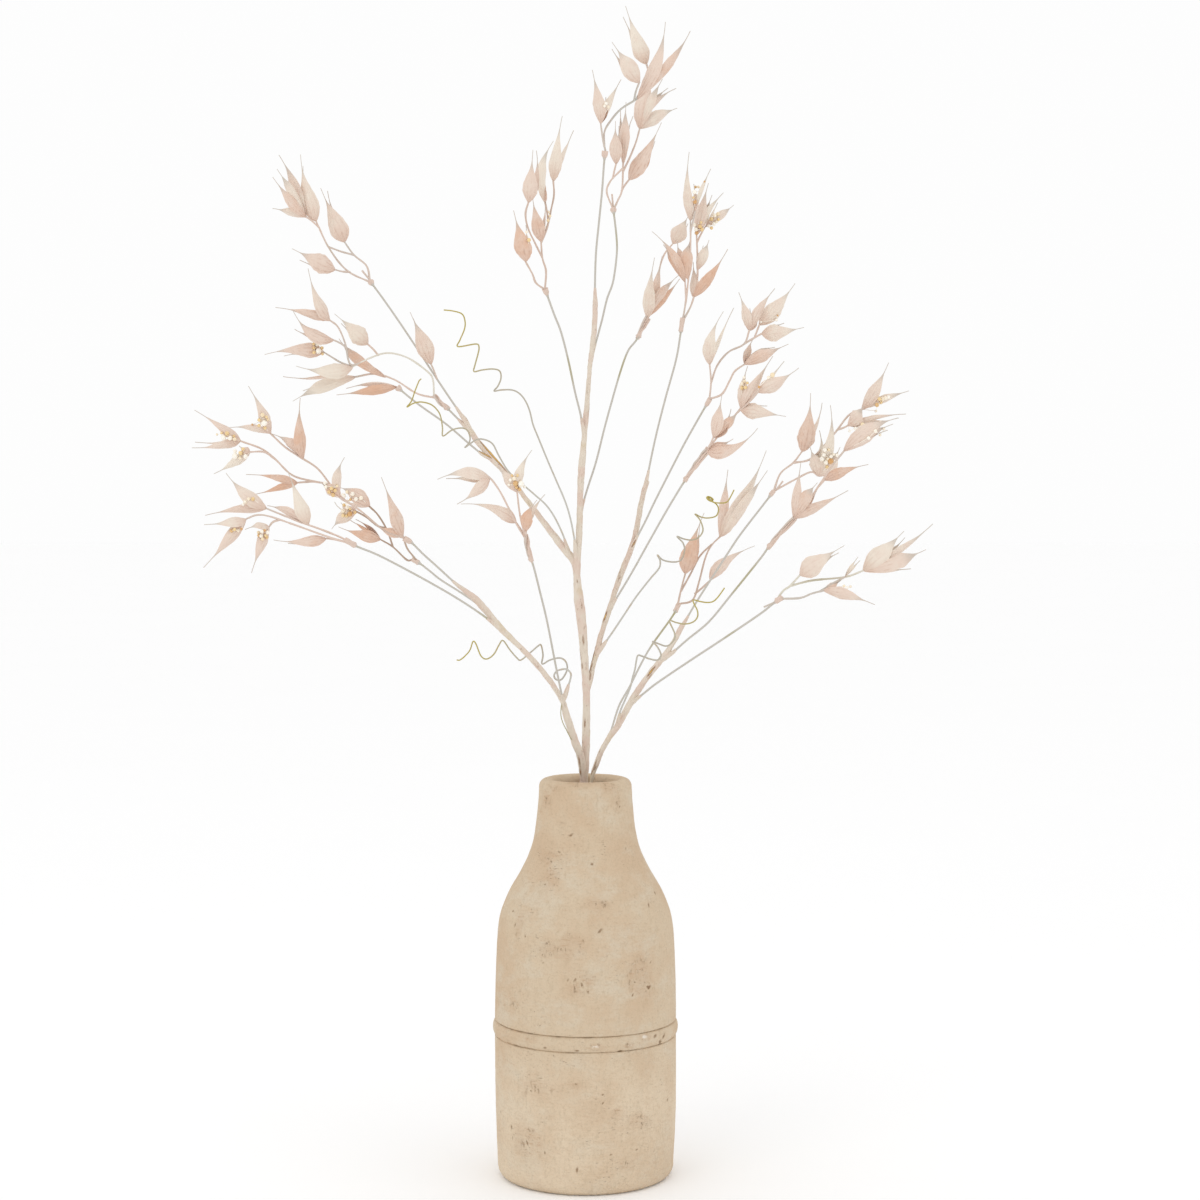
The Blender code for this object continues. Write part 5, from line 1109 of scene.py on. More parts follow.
@dataclass(frozen=True)
class PaperFinish:
    """Crinkled wrapping paper: pinkish beige, darker along its edges and in its slits."""

    pale: Colour = colour(221, 209, 193)
    pink: Colour = colour(218, 197, 182)
    edge: Colour = colour(150, 116, 88)
    gold: Colour = colour(204, 184, 140)
    gash: Colour = colour(216, 176, 98)
    clouds: Spots = Spots(0.012, 0.40, 0.65, 4)
    fibres: Spots = Spots(0.0012, 0.52, 0.72, 3, 0.7, 0.22)
    gilded: Spots = Spots(0.020, 0.55, 0.72)
    specks: Spots = Spots(0.0018, 0.66, 0.72, 2, 0.55, 0.6)
    relief: float = 0.0003

    def material(self) -> Material:
        """The paper's material.

        Returns:
            The material, brown where the tone is near 1 and bare gold where it is over 1.2.
        """
        mix = Recipe("wrapping paper", {"Roughness": 0.8})
        base = mix.blend(mix.spots(self.clouds), self.pale, self.pink)
        base = mix.coat(base, self.edge, mix.spots(self.fibres), 0.24)
        base = mix.coat(base, self.gold, mix.spots(self.gilded), 0.45)
        base = mix.coat(base, self.edge, mix.spots(self.specks), 0.4)
        tone = mix.tone()
        torn = mix.swayed(mix.noise(0.0011), 1.2, tone)
        brown = mix.times(mix.step(tone, 0.1, 0.5), mix.step(torn, 0.05, 0.9))
        base = mix.blend(brown, base, self.edge)
        base = mix.blend(mix.step(torn, 1.2, 1.6), base, self.gash)
        return mix.finish(base, mix.noise(0.0012, 4, 0.7, 0.3), self.relief)


@dataclass(frozen=True)
class WireFinish:
    """Thin wire: grey-beige where its tone is 0, in pink paper at 1, brown at 2.

    Below 0 it turns olive, and at -2 pale grey.
    """

    grey: Colour = colour(195, 190, 181)
    olive: Colour = colour(172, 164, 126)
    pink: Colour = colour(218, 196, 182)
    brown: Colour = colour(178, 154, 136)
    pale: Colour = colour(228, 223, 212)
    fibre: Colour = colour(176, 148, 132)
    stains: Spots = Spots(0.006, 0.52, 0.70)
    relief: float = 0.0002

    def material(self) -> Material:
        """The wire's material.

        Returns:
            The material, in the colour of its tone with olive stains and fine fibres.
        """
        mix = Recipe("papered wire", {"Roughness": 0.7})
        tone = mix.tone()
        base = mix.blend(mix.step(tone, 0.0, -1.0), self.grey, self.olive)
        base = mix.blend(mix.step(tone, 0.1, 0.9), base, self.pink)
        base = mix.blend(mix.step(tone, 1.0, 2.0), base, self.brown)
        base = mix.blend(mix.step(tone, -1.2, -2.0), base, self.pale)
        base = mix.coat(base, self.olive, mix.spots(self.stains), 0.12)
        fibres = mix.noise(0.0009, 3, 0.7, 0.3)
        base = mix.coat(base, self.fibre, mix.step(fibres, 0.55, 0.75), 0.35)
        return mix.finish(base, fibres, self.relief)


@dataclass(frozen=True)
class HuskFinish:
    """Ribbed husk cloth: redder at its root, cream to copper in the middle and grey on its awn."""

    cream: Colour = colour(232, 221, 206)
    peach: Colour = colour(226, 205, 190)
    copper: Colour = colour(217, 175, 147)
    root: Colour = colour(215, 184, 166)
    awn: Colour = colour(188, 179, 168)
    rib: Colour = colour(192, 156, 136)
    ribs: float = 4.0
    relief: float = 0.00014

    def material(self) -> Material:
        """The husks' material.

        Returns:
            The material, with grooves along the UV map that fade towards the awn.
        """
        mix = Recipe("husk cloth", {"Roughness": 0.6, "Sheen Weight": 0.2, "Sheen Roughness": 0.4})
        across, along = mix.across_and_along()
        tone = mix.tone()
        warm = mix.swayed(mix.noise(0.006), 1.2, tone)
        base = mix.blend(mix.step(warm, 0.0, 1.0), self.cream, self.peach)
        base = mix.blend(mix.step(warm, 0.9, 2.0), base, self.copper)
        base = mix.coat(base, self.root, mix.step(along, 0.34, 0.0), 0.6)
        base = mix.coat(base, self.awn, mix.step(along, 0.58, 0.82), 0.75)
        streaks = mix.noise(0.0035)
        shift = mix.swayed(streaks, 0.10, -1 / (4 * self.ribs))
        groove = mix.ridges(mix.plus(across, shift), self.ribs)
        worn = mix.times(mix.step(streaks, 0.36, 0.66), mix.step(along, 0.72, 0.12))
        worn = mix.times(worn, mix.plus(mix.times(mix.step(tone, 0.1, 1.3), 0.5), 0.2))
        base = mix.blend(mix.times(mix.step(groove, 0.55, 1.0), worn), base, self.rib)
        ribbed = mix.times(groove, mix.times(mix.step(along, 0.62, 0.30), -1.0))
        woven = mix.times(mix.noise(0.0016, 2), 0.5)
        return mix.finish(base, mix.plus(ribbed, woven), self.relief)


@dataclass(frozen=True)
class PearlFinish:
    """Pearls: cream where their tone is 0, gold at 1 and amber at 2."""

    cream: Colour = colour(252, 247, 236)
    gold: Colour = colour(238, 208, 150)
    amber: Colour = colour(208, 154, 92)
    sheen: Spots = Spots(0.0015, 0.45, 0.75, 2)

    def material(self) -> Material:
        """The pearls' material.

        Returns:
            The material, in the colour of its tone with a golden sheen in parts.
        """
        mix = Recipe("pearl", {"Roughness": 0.22, "Coat Weight": 0.6, "Coat Roughness": 0.1})
        tone = mix.tone()
        base = mix.blend(mix.step(tone, 0.0, 1.0), self.cream, self.gold)
        base = mix.blend(mix.step(tone, 1.0, 2.0), base, self.amber)
        return mix.finish(mix.coat(base, self.gold, mix.spots(self.sheen), 0.2))


@dataclass(frozen=True)
class CurlFinish:
    """A tendril: grey-beige at its root, where its tone is 0, to olive gold at its tip."""

    root: Colour = colour(197, 194, 186)
    middle: Colour = colour(184, 177, 163)
    tip: Colour = colour(180, 164, 82)
    rust: Colour = colour(190, 160, 112)
    rusty: Spots = Spots(0.007, 0.52, 0.7)
    relief: float = 0.0001

    def material(self) -> Material:
        """The tendrils' material.

        Returns:
            The material, in the colour of its tone with rusty parts.
        """
        mix = Recipe("olive wire", {"Roughness": 0.45, "Specular IOR Level": 0.4})
        tone = mix.tone()
        base = mix.blend(mix.step(tone, 0.1, 0.5), self.root, self.middle)
        base = mix.blend(mix.step(tone, 0.50, 0.92), base, self.tip)
        base = mix.coat(base, self.rust, mix.spots(self.rusty), 0.35)
        return mix.finish(base, mix.noise(0.0009), self.relief)


# The vase
def drawn(points: tuple, heights: Array) -> Array:
    """Radius and height at heights, on the line drawn smoothly through a few such points."""
    line = flowing(np.array(points), 10)
    return np.column_stack((np.interp(heights, line[:, 1], line[:, 0]), heights))


@dataclass
class BottleVase:
    """The turned vase: a straight body with a raised ring, a shoulder and a thick round lip."""

    height: float = 0.280
    foot_radius: float = 0.055
    foot_round: float = 0.0075
    body_radius: float = 0.0637
    ring_low: float = 0.100
    ring_high: float = 0.1106
    ring_radius: float = 0.0651
    lip_radius: float = 0.0058
    mouth_radius: float = 0.021
    wall: float = 0.0065
    sides: int = 360
    row_step: float = 0.0012
    unevenness: float = 0.00035
    plaster_grain: float = 0.00012
    crease_width: float = 0.0005
    crease_depth: float = 0.0004
    chip_depth: float = 0.0007
    strewn_marks: int = 70
    mark_blur: float = 0.2
    # How dark the painted shade in the marks is
    mark_shade: float = 1.05
    worn_tone: float = 1.15
    unmarked: float = 0.03
    seed: int = 5

    def outline(self) -> tuple[Array, Array]:
        """The profile from the middle of the foot, up the outside, and down to the inner floor.

        Arcs of circles round the foot, the ring and the lip; the body, the shoulder, the neck
        and the inside are drawn smoothly through their radii and heights.

        Returns:
            Radius and height at each row, and 1 for the rows outside and 0 for those inside.
        """
        body, low, high = self.body_radius, self.ring_low, self.ring_high
        turn = np.radians(np.linspace(-90, 0, 9))
        reach = body - self.foot_radius - 0.002
        foot = np.column_stack((self.foot_radius + reach * np.cos(turn),
                                self.foot_round * (1 + np.sin(turn))))
        sole = np.column_stack((np.linspace(0.004, self.foot_radius - 0.002, 6), np.zeros(6)))
        below = drawn(((0.0617, 0.0076), (0.0626, 0.026), (0.0635, 0.050), (body, 0.075),
                       (body, 0.088), (body, low - 0.004), (body, low - 0.0006)),
                      np.append(np.arange(0.0088, low - 0.0045, self.row_step),
                                np.linspace(low - 0.0042, low - 0.0006, 10)))
        bend = np.radians(np.linspace(-84, 84, 13))
        proud = self.ring_radius - body + 0.0012
        ring = np.column_stack((self.ring_radius - proud + proud * np.cos(bend),
                                (low + high) / 2 + (high - low) / 2 * np.sin(bend)))
        above = drawn(((body, high + 0.0006), (body, high + 0.004), (0.0635, 0.124),
                       (0.0632, 0.140), (0.0624, 0.160), (0.0613, 0.175), (0.0590, 0.187),
                       (0.0533, 0.201), (0.0453, 0.215), (0.0389, 0.229), (0.0354, 0.243),
                       (0.0332, 0.263), (0.0326, 0.2735)),
                      np.append(np.linspace(high + 0.0006, high + 0.0042, 10),
                                np.arange(high + 0.0055, 0.2735, 1.2 * self.row_step)))
        lip_turn = np.radians(np.linspace(4, 180, 20))
        lip = np.column_stack((self.mouth_radius + self.lip_radius + self.lip_radius * np.cos(lip_turn),
                               self.height - self.lip_radius * (1 - np.sin(lip_turn))))
        bore = body - self.wall
        inside = flowing(np.array(((self.mouth_radius, 0.273), (0.0220, 0.247), (0.0320, 0.226),
                                   (0.0460, 0.203), (0.0545, 0.186), (bore, 0.165), (bore, 0.090),
                                   (bore, 0.020), (0.051, FLOOR_THICKNESS), (0.004, FLOOR_THICKNESS))), 2)
        outer = np.vstack((sole, foot, below, ring, above, lip))
        return np.vstack((outer, inside)), np.repeat((1.0, 0.0), (len(outer), len(inside)))

    def radius_at(self, height: Array) -> Array:
        """The outer radius at heights, between the rows of the profile.

        Args:
            height: the heights above the floor.

        Returns:
            A radius for each.
        """
        rows, outside = self.outline()
        wall = rows[(outside > 0) & (rows[:, 0] > self.foot_radius - 0.03)]
        return np.interp(height, wall[:, 1], wall[:, 0])

    def place_of(self, pixels: Array) -> Array:
        """Where picture points lie on the vase's front.

        The depth starts at the front of the body and is set four times to minus the root of
        the radius at that height squared less x squared.

        Args:
            pixels: column and row of each point.

        Returns:
            The turn about the vase and the height of each.
        """
        depth = np.full(len(pixels), -self.body_radius)
        for _ in range(4):
            points = seen(pixels, depth)
            radius = self.radius_at(points[:, 2])
            depth = -np.sqrt(np.maximum(radius ** 2 - points[:, 0] ** 2, 1e-6))
        return np.column_stack((np.arctan2(depth, points[:, 0]), points[:, 2]))

    def gouges(self) -> Array:
        """The small marks that the photograph shows, and others strewn over the back.

        Returns:
            Turn, height, half length and half width in mm, slant and depth in mm of each.
        """
        random = np.random.default_rng(self.seed)
        front = np.column_stack((self.place_of(MARKS[:, :2]), MARKS[:, 2:]))
        strewn = np.column_stack([random.uniform(*ends, self.strewn_marks) for ends in (
            (0.15, math.pi - 0.15), (0.012, 0.262), (0.7, 2.6), (0.5, 0.9), (-1.5, 1.5))])
        marks = np.vstack((front, strewn))
        return np.column_stack((marks, random.uniform(0.25, 0.5, len(marks))))

    def wear(self, points: Array, turn: Array, radius: Array, height: Array) -> tuple[Array, Array]:
        """What wear and grain do to the vase's face.

        Slow and fine noise move it either way.  A crease on each side of the ring, chips of the
        ring and the small marks lie in it as bell-shaped curves of the distance from their
        middle, and noise makes the creases and chips ragged; the tone paints shade into them.
        Worn places only change the tone, where no mark lies.

        Args:
            points: a row for each point.
            turn: the points' turns about the vase, by row of the profile and place in it.
            radius: their distances from its axis.
            height: their heights.

        Returns:
            How far each point is pushed outwards, and its tone, with painted shade in the creases, chips
            and marks.
        """
        grain = Grain(self.seed)
        push = (self.unevenness * grain.at(points, 0.05)
                + self.plaster_grain * grain.layered(points, 0.006, 3)).reshape(turn.shape)
        worn = grain.layered(points, 0.009, 3).reshape(turn.shape)
        patchy = grain.layered(points + 3.1, 0.016, 3).reshape(turn.shape)
        creases = ((self.ring_high, np.clip(0.78 + 0.35 * worn, 0.5, 1.0)),
                   (self.ring_low, np.clip(0.72 + 0.75 * patchy, 0.2, 1.0)))
        on_body = eased(radius, self.body_radius - 0.01, self.body_radius - 0.004)
        crease = sum(np.exp(-((height - level) / self.crease_width) ** 2) * ragged
                     for level, ragged in creases) * on_body
        ring = np.exp(-(((height - (self.ring_low + self.ring_high) / 2) / 0.0052) ** 4)) * on_body
        chips = ring * eased(worn, 0.42, 0.75)
        # Painted shade: the creases and ring chips are darkened in colour as well as pushed in
        tone = crease * 0.62 + chips * 0.25
        push = push - self.crease_depth * crease - self.chip_depth * chips
        for at_turn, at_height, half_length, half_width, slant, deep in self.gouges():
            aside = (np.angle(np.exp(1j * (turn - at_turn)))) * radius / MM
            above = (height - at_height) / MM
            along = aside * math.cos(slant) + above * math.sin(slant)
            over = above * math.cos(slant) - aside * math.sin(slant)
            mark = np.exp(-(along / (half_length + self.mark_blur)) ** 2
                          - (over / (half_width + self.mark_blur)) ** 2)
            push = push - deep * MM * mark
            # Painted shade: each mark is darkened in colour as well as pushed in
            tone = tone + self.mark_shade * mark
        ragged = 1 + 0.45 * worn
        places = np.column_stack((self.place_of(WORN_PLACES[:, :2]), WORN_PLACES[:, 2:]))
        for at_turn, at_height, half_length, half_height, strength in places:
            aside = (np.angle(np.exp(1j * (turn - at_turn)))) * radius / MM / half_length
            above = (height - at_height) / MM / half_height
            place = np.exp(-(aside / ragged) ** 2 - (above / ragged) ** 2)
            tone = np.where(tone < self.unmarked, tone + strength * self.worn_tone * place, tone)
        return push, tone

    def build(self, finish: Material) -> Piece:
        """The vase's skin: its profile turned about the Z axis and moved by its wear.

        Each point moves along the profile's normal, but not inside the vase or under its foot.

        Args:
            finish: the plaster.

        Returns:
            The vase, in place of its solid.
        """
        rows, outside = self.outline()
        shape = (len(rows), self.sides)
        turn = np.broadcast_to(np.arange(self.sides) * 2 * math.pi / self.sides, shape)
        radius, height = (np.broadcast_to(column[:, None], shape) for column in rows.T)
        points = np.stack((radius * np.cos(turn), radius * np.sin(turn), height), -1)
        push, tone = self.wear(points.reshape(-1, 3), turn, radius, height)
        outside = outside[:, None]
        standing = outside * eased(rows[:, 1:], 0.0, 0.006)
        # Painted shade: the inside of the mouth is darkened below the lip
        mouth_shade = eased(height, self.height - 0.004, self.height - 0.010) * (1 - outside)
        tone = np.clip(tone * standing + mouth_shade * 0.3, -2.2, 1.2).reshape(-1)
        slope = unit(np.gradient(rows, axis=0))
        normal = np.stack(np.broadcast_arrays(
            slope[:, 1:] * np.cos(turn), slope[:, 1:] * np.sin(turn), -slope[:, :1]), -1)
        closed, faces, caps = closed_rings(points + (push * standing)[..., None] * normal)
        uv = np.stack((turn / (2 * math.pi), height / self.height), -1).reshape(-1, 2)
        patch = Patch(closed, faces, caps, np.vstack((uv, (0, 0), (0, 0))),
                      np.concatenate((tone, tone[[0, -1]])))
        vase = skin("vase_shell", [patch], [finish], 75)
        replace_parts(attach(vase, "root"), "vase")
        LOG.info("vase: %d points, %d marks", len(closed), len(self.gouges()))
        return vase


# The spray
@dataclass
class Branch:
    """The paper-wrapped trunk with its four arms, and the sleeves that hold the wires."""

    sides: int = 24
    sleeve_sides: int = 10
    sleeve_radii: tuple[float, ...] = (0.0019, 0.0017, 0.0009)
    sleeve_past: float = 0.004
    step: float = 0.0013
    pitch: float = 0.011
    overlap: float = 0.00022
    crinkle: float = 0.00016
    unevenness: float = 0.00022
    thin_radius: float = 0.0018
    slit_size: float = 0.0018
    slit_squeeze: float = 0.12
    tear_width: float = 0.26
    held_places: int = 300
    held_step: float = 0.0005
    seed: int = 11

    def paths(self) -> dict[str, Path]:
        """The arms' centre lines through their picture points, each from its parent's middle.

        Returns:
            A path for each arm by its name, the trunk's first.
        """
        lines: dict[str, Path] = {}
        for name, arm in ARMS.items():
            depths = [depth * MM for depth in arm.depths if depth is not None]
            if arm.parent:
                depths.insert(0, float(meet([lines[arm.parent]], *arm.points[0][:2])[1]))
            radii = np.array([point[2] / 2 * pixel_size(0) for point in arm.points])
            line = picture_path(arm.points, depths, radii)
            if not arm.parent:
                foot = np.array(TRUNK_FOOT)
                line = Path(np.vstack((foot[:, :3], line.points)), np.concatenate((foot[:, 3], line.radii)))
            lines[name] = line
        return lines

    def wrapped(self, path: Path, grain: Grain, sides: int, dull: float = 0.0) -> Patch:
        """A stem in spiral paper.

        The radius grows by the overlap from each turn of the tape to the next, where it drops
        back, and by slow and fine noise.  The tone is dark in slits, drawn by noise eight times
        as long as it is wide, and weakly along the tape's edge.

        Args:
            path: the stem's centre line.
            grain: the noise.
            sides: points in each ring.
            dull: the tone of the plain paper.

        Returns:
            The stem's patch.
        """
        line = path.smooth(self.step)
        lengths = (line.along * line.length)[:, None]
        turns = np.arange(sides) / sides
        angles = turns * 2 * math.pi
        circles = line.radii[:, None, None] * np.stack((np.cos(angles), np.sin(angles), 0 * turns), -1)
        phase = lengths / self.pitch + turns
        tape = (phase + grain.at(line.points, 0.02)[:, None] * 0.3) % 1.0
        around = (line.points[:, None] + circles).reshape(-1, 3)
        rough = grain.layered(around, 0.004, 3).reshape(phase.shape)
        slow = grain.at(line.points, 0.014)[:, None]
        ends = eased(np.minimum(line.along, 1 - line.along) * line.length, 0, 0.004)[:, None]
        thin = np.minimum(1.0, line.radii / self.thin_radius)[:, None]
        relief = (self.overlap * (tape - 0.5) + self.crinkle * rough + self.unevenness * slow) * ends * thin
        edge = eased(tape, 0.08, 0.0) + eased(tape, 0.97, 1.0)
        circles[..., 2] = self.slit_squeeze * lengths + line.points[0, 0]
        slit_noise = grain.layered(circles.reshape(-1, 3), self.slit_size, 2).reshape(phase.shape)
        slits = eased(slit_noise, 0.55, 0.95)
        tone = dull + 0.15 * edge * eased(rough, -0.1, 0.6) + 0.38 * slits + self.torn(line, turns)
        return tube(line, sides, relief, np.clip(tone, 0, 2), Cover.PAPER)

    def torn(self, line: Path, turns: Array) -> Array:
        """How torn the paper is, by the photograph's tears.

        A tear falls off as a bell-shaped curve of the distance along and across it, as it
        appears in the picture, on the side of the stem that faces the eye.

        Args:
            line: the stem.
            turns: the places in a ring, from 0 to 1.

        Returns:
            The tone that the tears add at each ring and place in it.
        """
        places = shown(line.points)
        slope = unit(np.gradient(places, axis=0))
        tear = np.zeros((len(places), len(turns)))
        for column, row, half_length, turned, strength in TEARS:
            apart = places - (column, row)
            along = np.exp(-((apart * slope).sum(1) / half_length) ** 2)
            beside = np.linalg.norm(apart, axis=1) < half_length * 3
            facing = np.exp(-(np.angle(np.exp(2j * math.pi * (turns - turned))) / self.tear_width) ** 2)
            tear += strength * (along * beside)[:, None] * facing
        return tear

    def held(self, wire: Path, arms: dict[str, Path]) -> float:
        """How far along a wire the paper holds it: to where it has left every arm.

        Args:
            wire: the wire.
            arms: the arms' paths.

        Returns:
            The length from the wire's root.
        """
        share = np.linspace(0, 1, self.held_places)
        spots = [(arm.at(share), arm.radius_at(share)) for arm in arms.values()]
        distances = np.arange(SLEEVE_LENGTH, wire.length, self.held_step)
        points = wire.at(distances / wire.length)
        clear = np.min([(np.linalg.norm(points[:, None] - spot, axis=2) - radii).min(axis=1)
                        for spot, radii in spots], axis=0)
        free = np.flatnonzero(clear > WIRE_RADIUS + 2 * SOCKET_GAP)
        return float(distances[free[0]]) if len(free) else float(distances[-1])

    def build(self, arms: dict[str, Path], wires: dict[str, Path], paper: Material,
              metal: Material) -> Piece:
        """The branch's skin: its stems, a tapering sleeve for each wire and a loose fine wire.

        Args:
            arms: the arms' paths.
            wires: the paths of the sprigs' wires and of the tendrils.
            paper: what the stems wear.
            metal: what the loose wire wears.

        Returns:
            The branch, in place of its solid.
        """
        grain = Grain(self.seed)
        patches = [self.wrapped(arm, grain, self.sides, DULL_ARMS.get(name, 0.0))
                   for name, arm in arms.items()]
        for wire in wires.values():
            sleeve = wire.stretch(0, self.held(wire, arms) + self.sleeve_past)
            sleeve.radii = np.interp(sleeve.along, (0, 0.55, 1), self.sleeve_radii)
            patches.append(self.wrapped(sleeve, grain, self.sleeve_sides))
        depth = float(meet([arms["left_arm"]], *LOOSE_WIRE[0])[1]) - LOOSE_WIRE_GAP
        ends = depth + 0.75 * LOOSE_WIRE_GAP
        loose = picture_path(LOOSE_WIRE, [ends, depth, ends], LOOSE_WIRE_RADIUS)
        patches.append(tube(loose.smooth(0.001), 6, tone=-1.0, finish=Cover.METAL))
        branch = skin("branch_paper", patches, [paper, metal])
        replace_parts(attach(branch, "root"), "spray_stem")
        LOG.info("branch: %d arms, %d sleeves", len(arms), len(wires))
        return branch


@dataclass
class HuskMaker:
    """Husks of ribbed, pointed blades, with their pearls."""

    below: int = 8
    beyond: int = 12
    columns: int = 9
    rise: float = 0.46
    thickness: float = 0.00032
    rib: float = 0.00010
    awn: float = 0.00038
    body: float = 0.80
    ruffle: float = 0.03
    drift: float = 0.00006
    behind: tuple[float, ...] = (-1, 1, 0.2, -0.4)
    thread: float = 0.0002
    swing: float = 0.0004

    def blade(self, base: Array, belly: Array, tip: Array, back: Array, width: float, tone: float,
              random: np.random.Generator) -> Patch:
        """One leaf of a husk: a cupped, ribbed and pointed sheet, closed at its rim and its ends.

        Its middle line is the quadratic curve from base to tip through the belly.  Its half
        width swells from the base nearly as a sine and ends as a thin awn.  Beyond the belly it
        falls between two curves: the power 1.4 of what is left, and half of one plus a cosine.
        Across it, the sheet rises by one minus the square of the distance from its middle
        line, with every other column lifted as a rib, and its inner face lies under it by a
        thickness that falls to nothing at the rim.

        Args:
            base: where the leaf grows.
            belly: the middle of its widest part.
            tip: the end of its awn.
            back: where its outer face looks.
            width: its greatest width in metres.
            tone: its colour, from 0, cream, over 1, peach, to 2, copper.
            random: what ruffles its rim.

        Returns:
            The leaf's patch, with its UV across and along.
        """
        reach = np.linalg.norm(belly - base)
        widest = reach / (reach + np.linalg.norm(tip - belly))
        pull = (belly - base * (1 - widest) ** 2 - tip * widest ** 2) / (2 * widest * (1 - widest))
        lower = np.linspace(0, 1, self.below, endpoint=False) ** 1.4
        upper = np.linspace(0, 1, self.beyond)
        share = np.concatenate((lower * widest, widest + upper * (1 - widest)))[:, None]
        middle = base * (1 - share) ** 2 + pull * 2 * share * (1 - share) + tip * share ** 2
        axis = unit((pull - base) * (1 - share) + (tip - pull) * share)
        outer = unit(back - axis * (axis @ back)[:, None])
        side = np.cross(axis, outer)
        swell = 0.13 + 0.87 * np.sin(np.minimum(1, lower / 0.86) * math.pi / 2) ** 0.85
        gone = np.minimum(1, upper / self.body)
        pointed = (1 - gone) ** 1.38 * (1 + 0.2 * upper)
        rounded = (0.5 + 0.5 * np.cos(math.pi * gone)) ** 1.15
        fall = pointed + (rounded - pointed) * random.uniform(0.15, 0.85)
        half = np.concatenate((swell, fall)) * width / 2
        fine = self.awn * (1 - 0.45 * share[:, 0])
        leaf = eased(half, fine[0], width / 3)
        half = np.maximum(half * (1 + self.ruffle * random.standard_normal(len(half)) * leaf), fine)
        drift = np.cumsum(random.standard_normal(len(half))) * self.drift * share[:, 0]
        middle = middle + outer * drift[:, None]
        place = np.linspace(-1, 1, self.columns)
        ribs = self.rib * (1 - 2 * (np.arange(self.columns) % 2)) * leaf[:, None]
        bowl = half[:, None] * self.rise * (1 - place ** 2) - half[:, None] * self.rise / 3
        face = bowl + np.where(abs(place) < 1, ribs, 0)
        deep = (self.thickness + 0.0002 * (1 - leaf))[:, None] * (1 - place ** 4)
        across = side[:, None] * (half[:, None] * place)[..., None]
        front = middle[:, None] + across + outer[:, None] * face[..., None]
        rear = front - outer[:, None] * deep[..., None]
        rings = np.concatenate((front, rear[:, -2:0:-1]), axis=1)
        points, faces, caps = closed_rings(rings)
        u = np.concatenate((place, place[-2:0:-1])) / 2 + 0.5
        uv = np.stack(np.broadcast_arrays(u, share), -1)
        uv = np.vstack((uv.reshape(-1, 2), (0.5, 0), (0.5, 1)))
        return Patch(points, faces, caps, uv, np.full(len(points), tone), Finish.HUSK)

    def husk(self, husk: Husk, paths: list[Path], random: np.random.Generator) -> list[Patch]:
        """The blades of one husk, facing away from each other, and its pearls on a thread.

        Args:
            husk: its measures.
            paths: the lines that it may grow from.
            random: what varies its tone and its blades' rims.

        Returns:
            A patch for each blade, thread and pearl.
        """
        base = meet(paths, *husk.base)
        tips = [seen(blade[:2], base[1] + husk.lean * MM + part * BLADES_APART / 2)[0]
                for blade, part in zip(husk.blades, self.behind)]
        axes = [unit(tip - base) for tip in tips]
        middle = (axes[0] + axes[1]) / 2
        patches = []
        for i, (shape, tip, axis) in enumerate(zip(husk.blades, tips, axes)):
            away = unit(axis - middle)
            back = away + TO_VIEWER * TURN_TO_VIEWER * math.hypot(away[0], away[2])
            if i > 1:
                back = unit(back) * 0.6 - TO_VIEWER * (0.8 if i == 2 else -0.8)
            bulge = unit(back)[1] * BLADE_BULGE * np.linalg.norm(tip - base)
            belly = seen(shape[2:4], base[1] * 0.65 + tip[1] * 0.35 + bulge)[0]
            tone = shape[5] + random.uniform(-0.15, 0.15)
            width = shape[4] * pixel_size(base[1]) * SEEN_ASLANT
            patches.append(self.blade(base, belly, tip, back, width, tone, random))
        if husk.pearls:
            patches += self.pearls(base, husk.pearls, np.vstack([blade.points for blade in patches]))
        return patches

    def pearls(self, base: Array, pearls: Sequence[tuple[float, float, float, float]],
               cloth: Array) -> list[Patch]:
        """Pearls before the heart of a husk, on a thread from its base to the farthest.

        Args:
            base: where the husk grows.
            pearls: column, row and width in pixels, and colour of each.
            cloth: the blades' points, on which the pearls lie.

        Returns:
            The thread's patch and one for each pearl.
        """
        rows = np.array(pearls)
        sizes = rows[:, 2] / 2 * pixel_size(base[1])
        apart = np.linalg.norm(shown(cloth)[None] - rows[:, None, :2], axis=2)
        front = np.where(apart < PEARL_NEAR, cloth[:, 1], base[1]).min(axis=1)
        swing = self.swing * np.cos(2.4 * np.arange(len(rows)))
        spots = seen(rows[:, :2], np.minimum(front, base[1]) - 0.3 * sizes + swing)
        order = np.argsort(np.linalg.norm(spots - base, axis=1))
        thread = tube(Path(np.vstack((base, spots[order])), self.thread), 5, finish=Finish.PEARL)
        return [thread] + [ball(spot, size, tone) for spot, size, tone in zip(spots, sizes, rows[:, 3])]


